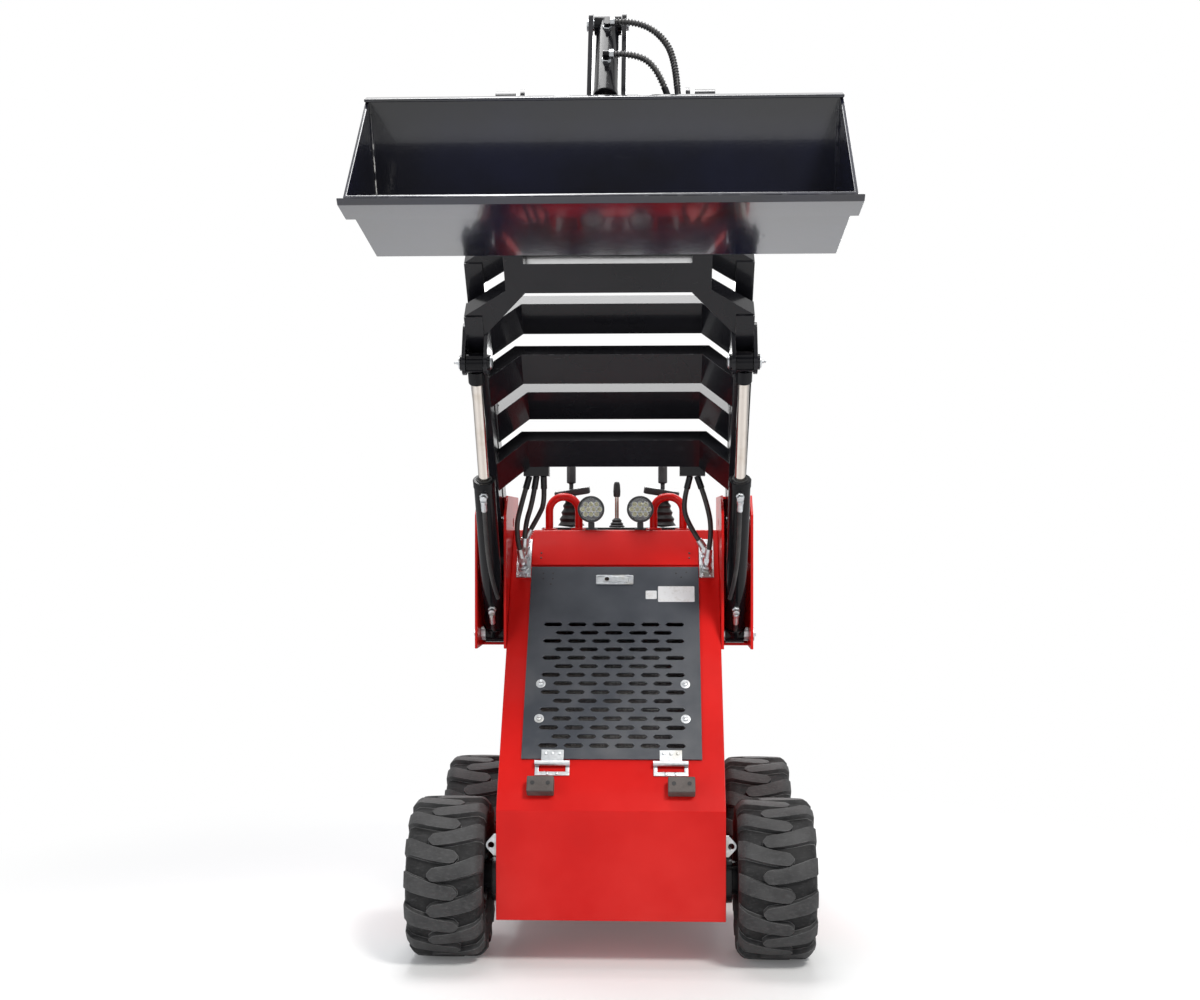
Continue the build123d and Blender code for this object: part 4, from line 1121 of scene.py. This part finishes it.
def lift_cylinder(side, sign):
    foot = PIVOT[f"lift_barrel_{side}_hinge"]
    along = AXIS[f"lift_rod_{side}_slide"]
    out = Vector((0, -along.z, along.y))
    name = f"lift_barrel_{side}"
    barrel = Shape().add(solid_of(name, 0.0012), "barrel")
    barrel.add(turned(LIFT_GLAND, foot, along, 48), "barrel")
    barrel.add(seam_round(foot + along * 0.029, 0.0305, along, 0.0028), "barrel")
    barrel.add(turned(LIFT_WIPER, foot, along, 40, closed=True), "rubber")
    for station, end_at in (UPPER_PORT, LOWER_PORT):
        oil_pipe(barrel, foot, along, out, ACROSS * -sign, station, end_at)
    barrel.place(f"{name}_dressed", name, "black_paint", (name,), 38.0)

    name = f"lift_rod_{side}"
    rod = Shape().add(solid_of(name, 0.001), "chrome")
    low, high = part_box(name)
    eye = foot + along * ((high.z - ROD_EYE - foot.z) / along.z)
    half = (high.x - low.x) / 2
    outer = ROD_EYE + EYE_PAINT
    sleeve = [(-half, ROD_EYE - 0.001), (-half, outer), (half, outer), (half, ROD_EYE - 0.001)]
    rod.add(turned(sleeve, eye, ACROSS, 40, closed=True), "barrel")
    rod.add(turned(ROD_COLLAR, eye, along, 36, closed=True), "barrel")
    rod.place(f"{name}_dressed", name, "chrome_rod", (name,), 38.0)


def tilt_cylinder():
    foot = PIVOT["tilt_barrel_hinge"]
    along = AXIS["tilt_rod_slide"]
    front = Vector((0, along.z, -along.y))
    barrel = Shape().add(solid_of("tilt_barrel", 0.0012), "barrel")
    barrel.add(turned(TILT_GLAND, foot, along, 48), "barrel")
    for station in TILT_PORTS:
        tip = foot + along * station + front * 0.050
        barrel.add(hexagon(tip - front * 0.0215, front, 0.0125, 0.010), "zinc")
        barrel.add(hexagon(tip + ACROSS * 0.0085, ACROSS, 0.0115, 0.0112), "zinc")
    barrel.place("tilt_barrel_dressed", "tilt_barrel", "black_paint", ("tilt_barrel",), 38.0)
    rod = Shape().add(solid_of("tilt_rod", 0.001), "chrome")
    rod.place("tilt_rod_dressed", "tilt_rod", "chrome_rod", ("tilt_rod",), 38.0)


class LOADER_OT_cylinders(bpy.types.Operator):
    """Lift and tilt cylinders with glands, ports and their oil pipes"""
    bl_idname = "loader.cylinders"
    bl_label = "Cylinders"

    def execute(self, context):
        for side, sign in SIDES:
            lift_cylinder(side, sign)
        tilt_cylinder()
        return {"FINISHED"}


# The bucket's side view at rest: foot and top of its back, and its cutting edge
HEEL, LIP, MOUTH = Vector((0, -0.805, 1.922)), Vector((0, -0.963, 2.287)), Vector((0, -1.238, 1.983))
BACK_OUT = ACROSS.cross(HEEL - LIP).normalized()
FLOOR_UP = ACROSS.cross(HEEL - MOUTH).normalized()
BUCKET_INSIDE, SEAM_IN = 0.566, 0.009


def bucket_shell():
    """The shell with the seams of its side plates and two lugs on its top edge."""
    shell = Shape().add(solid_of("bucket_shell", sizes().edge_round * 0.9, 2, 24.0), "plate")
    for start, offset in ((LIP, BACK_OUT * -SEAM_IN), (MOUTH, FLOOR_UP * SEAM_IN)):
        corner = start + offset + ACROSS * BUCKET_INSIDE
        seam = [corner + (HEEL - start) * share for share in (0.10, 0.4, 0.7, 0.86)]
        shell.add(bead(seam, sizes().weld), "plate", True)
    for x in (-0.100, 0.100):
        spot = LIP + Vector((x, 0.016, -0.010)) + BACK_OUT * 0.004
        shell.add(slab(spot, (0.034, 0.012, 0.030), axes(ACROSS, BACK_OUT), 0.002), "zinc")
    shell.place("bucket_shell_dressed", "bucket", "black_paint", ("bucket_shell",), 30.0)


def attach_plate():
    """The plate that the mast carries, with a weld round each of its ears' bosses."""
    plate = Shape().add(solid_of("quick_attach", sizes().edge_round, 2), "black")
    for x in (0.1498, 0.1902):
        place = Vector((x, PIVOT["bucket_tilt"].y, PIVOT["bucket_tilt"].z))
        plate.add(seam_round(place, 0.0195, ACROSS, 0.003), "black", True)
    plate.place("quick_attach_dressed", "bucket", "black_paint", ("quick_attach",), 38.0)


class LOADER_OT_bucket(bpy.types.Operator):
    """Bucket with weld seams, its cutting edge and its quick attach plate"""
    bl_idname = "loader.bucket"
    bl_label = "Bucket"

    def execute(self, context):
        bucket_shell()
        # The cutting edge takes the bucket's enamel, with its blue painted reflection.
        edge = Shape().add(solid_of("cutting_edge", 0.0018, 2), "plate")
        edge.place("cutting_edge_painted", "bucket", "black_paint", ("cutting_edge",))
        attach_plate()
        return {"FINISHED"}


class LOADER_OT_mast(bpy.types.Operator):
    """Mast plates, cross tubes, horn and pins"""
    bl_idname = "loader.mast"
    bl_label = "Mast"

    def execute(self, context):
        plates = Shape().add(solid_of("mast_frame", sizes().edge_round, 2), "black")
        plates.place("mast_frame_dressed", "mast", "black_paint", ("mast_frame",), 38.0)
        pins = Shape().add(solid_of("mast_pins", 0.0012), "zinc")
        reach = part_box("mast_pins")[1].x
        lower = PIVOT["mast_hinge"]
        for centre in (lower, lower + PIVOT["upper_link_hinge"] - PIVOT["lift"]):
            pins.add(pin_head(reach, centre), "zinc", True)
        pins.place("mast_pin_heads", "mast", "zinc", ("mast_pins",))
        return {"FINISHED"}


# Crimps at a lift hose's foot and head, and at a tilt hose's end
LIFT_CRIMPS = (0.045, 0.040)
TILT_CRIMP = 0.030
# Side, then the route's points from the body's fitting to the lower link's block
LIFT_ROUTES = (
    (-1, ((0.285, 0.0639, 1.1317), (0.306, 0.038, 1.235), (0.286, 0.024, 1.315), (0.262, 0.030, 1.400))),
    (-1, ((0.285, 0.0877, 1.1663), (0.276, 0.066, 1.258), (0.256, 0.044, 1.312), (0.240, 0.030, 1.400))),
    (-1, ((0.285, 0.1114, 1.2010), (0.236, 0.088, 1.282), (0.218, 0.058, 1.318), (0.218, 0.030, 1.400))),
    (1, ((0.285, 0.0639, 1.1317), (0.300, 0.042, 1.236), (0.284, 0.028, 1.316), (0.254, 0.030, 1.400))),
    (1, ((0.285, 0.0877, 1.1663), (0.222, 0.070, 1.262), (0.212, 0.050, 1.318), (0.232, 0.030, 1.400))),
)
# From each of the tilt barrel's elbows to the block on the mast
TILT_ROUTES = (
    ((0.020, -0.6766, 2.5595), (0.080, -0.6766, 2.5595), (0.142, -0.684, 2.520),
     (0.176, -0.708, 2.452), (0.184, -0.7418, 2.338)),
    ((0.020, -0.7674, 2.4465), (0.080, -0.7674, 2.4465), (0.130, -0.758, 2.412), (0.160, -0.7418, 2.338)),
)


def on_side(side, points):
    """A right-hand route's points on one side of the machine."""
    return [Vector((side * x, y, z)) for x, y, z in points]


def shortened(points, start, end):
    """A route with this much taken off at each end, where the crimps are."""
    points = [Vector(p) for p in points]
    first = points[0] + (points[1] - points[0]).normalized() * start
    last = points[-1] + (points[-2] - points[-1]).normalized() * end
    return [first, *points[1:-1], last]


def spiral(points, radius, pitch, wire):
    """A coil of guard wound along a hose."""
    steps_a_turn = 12
    up = Vector((0.31, 0.52, 0.79))
    gone = 0.0
    coil = []
    for a, b in zip(points, points[1:]):
        along = (b - a).normalized()
        first = (up - along * up.dot(along)).normalized()
        second = along.cross(first)
        length = (b - a).length
        steps = max(2, round(length / pitch * steps_a_turn))
        for n in range(steps):
            share = n / steps
            turn = math.tau * (gone + share * length) / pitch
            coil.append(a + (b - a) * share + (first * math.cos(turn) + second * math.sin(turn)) * radius)
        gone += length
    return tube(coil, wire, 1, 1)


def hose(name, route, wide, ends, guards=()):
    """A hose cover along a route, baked into place between its two ends."""
    line = route_points(route, 16)
    shape = Shape().add(tube(route, wide / 2, 5, 16), "hose")
    made = shape.place(name, None, "hose", blend=ends)
    return made


def lift_hoses():
    made = {-1: [], 1: []}
    for number, (side, points) in enumerate(LIFT_ROUTES, 1):
        route = shortened(on_side(side, points), *LIFT_CRIMPS)
        ends = ("root", "lower_link", route[0], route[-1])
        made[side].append(hose(f"lift_hose_{number}", route, sizes().hose, ends))
    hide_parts("hoses_left")
    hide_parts("hoses_right")


def tilt_hoses():
    """Both tilt hoses in their spiral guards; the first stands for the pair."""
    wide = sizes().tilt_hose
    for number, points in enumerate(TILT_ROUTES, 1):
        route = shortened(points, 0.0, TILT_CRIMP)
        ends = ("tilt_barrel", "mast", route[0], route[-1])
        coil = spiral(route_points(route, 6), wide / 2 + 0.0014, 0.0085, 0.0018)
        guard = Shape().add(coil, "guard").place(f"tilt_hose_guard_{number}", None, "hose", blend=ends)
        made = hose(f"tilt_hose_{number}", route, wide, ends, (guard,))
        if number == 1:
            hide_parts("tilt_hoses")


def bulkheads():
    """The body's zinc plates with a nut, an elbow and crimp rings for each lift hose."""
    ring = ((0, 0.0108), (0, 0.0118), (0.0035, 0.0118), (0.0035, 0.0108))
    stub, plate_foot = 0.034, 0.6182
    fittings = Shape().add(solid_of("bulkheads", 0.0010, 2), "zinc")
    for side, points in LIFT_ROUTES:
        tip, after = on_side(side, points[:2])
        run = (after - tip).normalized()
        foot = tip - SLOPE_OUT * stub
        fittings.add(hexagon(foot, SLOPE_OUT, 0.0175, 0.009), "zinc")
        fittings.add(hexagon(foot + SLOPE_OUT * 0.014, SLOPE_OUT, 0.0150, 0.010), "zinc")
        fittings.add(hexagon(tip + run * 0.004, run, 0.0150, 0.013), "zinc")
        for reach in (0.020, 0.027, 0.034):
            fittings.add(turned(ring, tip + run * reach, run, 24, closed=True), "zinc")
    for up in (0.008, 0.134):
        for x in (0.297, 0.273):
            screw = door_point(x, plate_foot + up, 0.005)
            fittings.add(dome(screw, SLOPE_OUT, 0.0055, 0.003), "zinc", True)
    fittings.place("hose_bulkheads", "root", "zinc", ("bulkheads",))


class LOADER_OT_hoses(bpy.types.Operator):
    """Lift and tilt hoses with their fittings and spiral guard"""
    bl_idname = "loader.hoses"
    bl_label = "Hoses"

    def execute(self, context):
        lift_hoses()
        tilt_hoses()
        bulkheads()
        return {"FINISHED"}


STICK = Vector((0.150, 0.340, 0))
HOUSING_AT = Vector((0.146, 0.334, 0.007))
HOUSING = (0.116, 0.072, 0.022)
LEVER_Y, HOOP_Y, HOOP_LEGS = 0.330, 0.240, (0.120, 0.215)
# Sections up from a control's foot: height, and radius
LEVER_STEM = ((0, 0), (0, 0.007), (0.101, 0.007), (0.101, 0))
LEVER_KNOB = (
    (0.099, 0), (0.099, 0.0085), (0.103, 0.0112), (0.118, 0.0120), (0.140, 0.0105),
    (0.148, 0.0075), (0.1495, 0.003), (0.150, 0),
)
LEVER_CONE = (
    (0, 0), (0, 0.024), (0.004, 0.026), (0.008, 0.020), (0.013, 0.021), (0.018, 0.015),
    (0.023, 0.016), (0.030, 0.0085), (0.030, 0.0),
)
HOOP_FLANGE = ((0, 0.0122), (0, 0.026), (0.004, 0.0255), (0.005, 0.0150), (0.006, 0.0122))


def joysticks():
    """Each stick's grip on a flat housing that rises towards the machine's middle."""
    grips = Shape().add(solid_of("joystick_grips", 0.0045, 4), "plastic")
    low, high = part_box("joystick_grips")
    for side in (-1, 1):
        centre = Vector((side * HOUSING_AT.x, HOUSING_AT.y, low.z + HOUSING_AT.z))
        tilt = axes((1, 0, -0.16 * side), (0, 1, 0.10))
        grips.add(stadium(centre, HOUSING, tilt, 0.004, 0.014), "plastic")
        top = Vector((side * STICK.x, STICK.y, high.z - 0.001))
        grips.add(dome(top, UP, 0.0125, 0.0006), "rubber")
    grips.place("joystick_handles", "root", "black_plastic", ("joystick_grips",))


def throttle_lever():
    foot = Vector((0, LEVER_Y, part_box("centre_lever")[0].z))
    lever = Shape().add(turned(LEVER_STEM, foot, UP, 28), "chrome")
    lever.add(turned(LEVER_KNOB, foot, UP, 28), "plastic")
    lever.add(turned(LEVER_CONE, foot, UP, 32), "rubber")
    lever.place("throttle_lever", "root", "black_plastic", ("centre_lever",))


def hand_hoops():
    hoops = Shape().add(solid_of("hand_hoops", 0.0005, 1, 60.0), "red")
    for x in HOOP_LEGS:
        foot = Vector((x, HOOP_Y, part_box("hand_hoops")[0].z + 0.0008))
        hoops.add(turned(HOOP_FLANGE, foot, UP, 32, closed=True), "red", True)
    hoops.place("red_hoops", "root", "red_paint", ("hand_hoops",))


class LOADER_OT_controls(bpy.types.Operator):
    """Joysticks in their boots, centre lever, red hoops and console"""
    bl_idname = "loader.controls"
    bl_label = "Controls"

    def execute(self, context):
        dressed("console", "console_plate", "black", "black_paint", 0.0012)
        dressed("joystick_boots", "boots", "rubber", "rubber", 0.0022, 3)
        joysticks()
        throttle_lever()
        hand_hoops()
        return {"FINISHED"}


LAMP_X, LAMP_RADIUS = 0.078, 0.0425
# Cells in a row, and the row's height above the lamp's middle, in pitches
LAMP_CELL = 0.0175
LAMP_ROWS = ((3, 0.87), (4, 0.0), (3, -0.87))
# Finned housing, reflector cup and lens: distance in from the lamp's face, and radius
LAMP_BODY = (
    (0.000, 0.0362), (0.000, 0.0415), (0.002, 0.0425), (0.010, 0.0425), (0.0115, 0.0405),
    (0.020, 0.0400), (0.0215, 0.0375), (0.024, 0.0375), (0.0255, 0.0400), (0.028, 0.0400),
    (0.0295, 0.0370), (0.032, 0.0370), (0.0335, 0.0390), (0.036, 0.0390), (0.0375, 0.0350),
    (0.044, 0.0320), (0.044, 0.0), (0.016, 0.0), (0.016, 0.0362),
)
LAMP_CUP = (
    (0.0035, 0.0086), (0.0041, 0.0086), (0.0041, 0.0078), (0.0085, 0.0052), (0.0113, 0.0026),
    (0.0113, 0.0),
)
LAMP_LENS = ((0, 0.0), (0, 0.0340), (0.0008, 0.0358), (0.0028, 0.0358), (0.0028, 0.0))


def lamp_housings(face):
    """Both lamps' finned bodies on their feet."""
    housing = Shape().add(turned(LAMP_BODY, face, INWARD, 56, closed=True), "plastic", True)
    foot = Vector((face.x, face.y + 0.030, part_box("lamps")[0].z))
    housing.add(slab(foot + UP * 0.012, (0.020, 0.020, 0.024), None, 0.002), "plastic", True)
    housing.add(slab(foot + UP * 0.003, (0.036, 0.030, 0.005), None, 0.0015), "plastic", True)
    housing.place("lamp_housings", "root", "black_plastic", ("lamps",))


def lamp_cells(face):
    """Ten reflector cups a lamp, each with its chip."""
    cells = Shape()
    for count, rise in LAMP_ROWS:
        for n in range(count):
            spot = face + ACROSS * (n - (count - 1) / 2) * LAMP_CELL + UP * rise * LAMP_CELL
            cells.add(turned(LAMP_CUP, spot, INWARD, 20), "mirror", True)
            cells.add(dome(spot + INWARD * 0.0105, -INWARD, 0.0030, 0.0016), "led", True)
    cells.place("lamp_reflectors", "root", "lens")


class LOADER_OT_lamps(bpy.types.Operator):
    """Two round work lamps with cellular lenses"""
    bl_idname = "loader.lamps"
    bl_label = "Work lamps"

    def execute(self, context):
        low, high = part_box("lamps")
        face = Vector((LAMP_X, low.y, high.z - LAMP_RADIUS))
        lamp_housings(face)
        lamp_cells(face)
        seat = Vector((LAMP_X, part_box("lamp_lenses")[0].y + 0.0006, face.z))
        glass = Shape().add(turned(LAMP_LENS, seat, INWARD, 56), "lens", True)
        glass.place("lamp_glass", "root", "lens", ("lamp_lenses",))
        return {"FINISHED"}


STEP_DECK, MAT_MARGIN = 0.250, 0.030
TREAD_ROWS, TREAD_COLUMNS, TREAD_PITCH, TREAD_BAR = 7, 11, 0.043, (0.030, 0.008, 0.003)


class LOADER_OT_platform(bpy.types.Operator):
    """The operator's step with its grip tread"""
    bl_idname = "loader.platform"
    bl_label = "Rear step"

    def execute(self, context):
        low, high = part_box("platform")
        step = Shape().add(solid_of("platform", 0.004, 3), "black")
        middle = (0, (low.y + high.y) / 2 + 0.015, STEP_DECK + 0.0015)
        area = (2 * (high.x - MAT_MARGIN), high.y - low.y - 0.080, 0.003)
        step.add(stadium(middle, area, Matrix.Identity(4), 0.0008, 0.02), "rubber")
        for row in range(TREAD_ROWS):
            shift = TREAD_PITCH / 2 if row % 2 else 0
            for n in range(TREAD_COLUMNS):
                x = (n - 5) * TREAD_PITCH + shift - 0.01
                place = (x, low.y + 0.075 + row * TREAD_PITCH, STEP_DECK + 0.0044)
                turn = Matrix.Rotation(math.radians(45 if (row + n) % 2 else -45), 4, "Z")
                step.add(stadium(place, TREAD_BAR, turn, 0.0008, 0.0035, 2), "rubber")
        step.place("step_plate", "root", "black_paint", ("platform",))
        return {"FINISHED"}


def soft_lamp(name, place, aim, size, power, tint=(1, 1, 1)):
    """An area lamp at a place, turned towards what it lights."""
    data = bpy.data.lights.new(name, "AREA")
    data.shape = "RECTANGLE"
    data.size, data.size_y = size
    data.energy = power
    data.color = tint
    lamp = bpy.data.objects.new(name, data)
    bpy.context.scene.collection.objects.link(lamp)
    lamp.location = place
    lamp.rotation_euler = (Vector(aim) - Vector(place)).to_track_quat("-Z", "Y").to_euler()
    return lamp


# A lamp's name, place, aim, size, power and tint
LAMPS = (
    ("key", (2.4, -4.2, 5.4), (0, -0.2, 0.9), (1.3, 1.3), 290, (1.0, 0.98, 0.94)),
    ("fill", (-3.6, -3.2, 2.2), (0, 0, 1.0), (2.4, 2.4), 36),
    ("top", (-0.4, 0.4, 5.0), (0, -0.1, 0), (2.2, 2.2), 150),
    ("back", (0.4, 4.4, 3.2), (0, 0.2, 1.0), (3.0, 2.0), 80),
)
# The camera as fitted to both axles' tyres in the photograph
EYE, TURNED_LEFT = (0.124, -4.56, 1.25), math.radians(2.1)
FOCAL_LENGTH, FILM_WIDE, LOOKS_UP = 44.8, 36.0, 25 / 1200


def floor_paint():
    """A pale floor that fades into the white background away from the machine."""
    pale = tuple(bpy.context.scene.loader_colours.floor)
    paint = Paint("studio floor", Roughness=0.7, Specular_IOR_Level=0.2)
    grain = paint.noise(3.0, 3.0)
    paint.set("Base Color", paint.mix(grain, pale, tuple(c * 0.985 for c in pale)))
    ray = paint.add("ShaderNodeLightPath")
    far = paint.add("ShaderNodeVectorMath", {"operation": "LENGTH"}, {0: paint.place})
    fade = Value(paint, far.outputs["Value"]).between(1.1, 2.6)
    seen = Value(paint, ray.outputs["Is Camera Ray"]) * (fade * 0.9 + 0.10)
    white = paint.add("ShaderNodeEmission", {}, {"Color": (1, 1, 1, 1), "Strength": 1.0})
    both = paint.add("ShaderNodeMixShader", {}, {
        0: seen, 1: paint.shader.outputs[0], 2: white.outputs[0],
    })
    paint.links.new(both.outputs[0], paint.nodes["Material Output"].inputs["Surface"])
    return paint.material


def studio_floor():
    mesh = bmesh.new()
    bmesh.ops.create_grid(mesh, x_segments=2, y_segments=2, size=30.0)
    data = bpy.data.meshes.new("studio_floor")
    mesh.to_mesh(data)
    mesh.free()
    floor = bpy.data.objects.new("studio_floor", data)
    bpy.context.scene.collection.objects.link(floor)
    data.materials.append(floor_paint())


def white_room():
    """A dim blue-white sky that the camera, glass and reflections see as plain white."""
    world = bpy.data.worlds.new("white room")
    bpy.context.scene.world = world
    world.use_nodes = True
    nodes, links = world.node_tree.nodes, world.node_tree.links
    lit = nodes["Background"]
    lit.inputs["Color"].default_value = (0.90, 0.94, 1.0, 1)
    lit.inputs["Strength"].default_value = 0.38
    shown = nodes.new("ShaderNodeBackground")
    shown.inputs["Color"].default_value = (1, 1, 1, 1)
    path = nodes.new("ShaderNodeLightPath")
    white = path.outputs["Is Camera Ray"]
    for ray in ("Is Transmission Ray", "Is Glossy Ray"):
        most = nodes.new("ShaderNodeMath")
        most.operation = "MAXIMUM"
        links.new(white, most.inputs[0])
        links.new(path.outputs[ray], most.inputs[1])
        white = most.outputs[0]
    mixed = nodes.new("ShaderNodeMixShader")
    links.new(white, mixed.inputs[0])
    links.new(lit.outputs[0], mixed.inputs[1])
    links.new(shown.outputs[0], mixed.inputs[2])
    links.new(mixed.outputs[0], nodes["World Output"].inputs["Surface"])


def photo_camera():
    view = bpy.data.cameras.new("photo camera")
    view.lens = FOCAL_LENGTH
    view.sensor_width = FILM_WIDE
    view.shift_y = LOOKS_UP
    view.clip_end = 200
    camera = bpy.data.objects.new("photo camera", view)
    bpy.context.scene.collection.objects.link(camera)
    camera.location = EYE
    camera.rotation_euler = (math.radians(90), 0, TURNED_LEFT)
    bpy.context.scene.camera = camera


class LOADER_OT_stage(bpy.types.Operator):
    """Pale floor, white surroundings, soft lamps and the camera"""
    bl_idname = "loader.stage"
    bl_label = "Studio"

    def execute(self, context):
        studio_floor()
        white_room()
        for lamp in LAMPS:
            soft_lamp(*lamp)
        photo_camera()
        context.scene.view_settings.view_transform = "Standard"
        return {"FINISHED"}


OPERATORS = (
    LOADER_OT_stage, LOADER_OT_hoses, LOADER_OT_body, LOADER_OT_door, LOADER_OT_wheels,
    LOADER_OT_arms, LOADER_OT_cylinders, LOADER_OT_bucket, LOADER_OT_mast, LOADER_OT_controls,
    LOADER_OT_lamps, LOADER_OT_platform,
)


class LOADER_PT_panel(bpy.types.Panel):
    """Sizes, colours and pieces of the loader"""
    bl_idname = "LOADER_PT_panel"
    bl_label = "Mini loader"
    bl_space_type = "VIEW_3D"
    bl_region_type = "UI"
    bl_category = "Loader"

    def draw(self, context):
        for group in (context.scene.loader_colours, context.scene.loader_sizes):
            column = self.layout.column(align=True)
            for name in group.__annotations__:
                column.prop(group, name)
        for operator in OPERATORS:
            self.layout.operator(operator.bl_idname)


CLASSES = (LoaderColours, LoaderSizes, *OPERATORS, LOADER_PT_panel)


def register():
    for item in CLASSES:
        bpy.utils.register_class(item)
    bpy.types.Scene.loader_colours = bpy.props.PointerProperty(type=LoaderColours)
    bpy.types.Scene.loader_sizes = bpy.props.PointerProperty(type=LoaderSizes)


def unregister():
    del bpy.types.Scene.loader_colours
    del bpy.types.Scene.loader_sizes
    for item in reversed(CLASSES):
        bpy.utils.unregister_class(item)


def main():
    register()
    for operator in OPERATORS:
        group, name = operator.bl_idname.split(".")
        getattr(getattr(bpy.ops, group), name)()


if __name__ == "__main__":
    main()
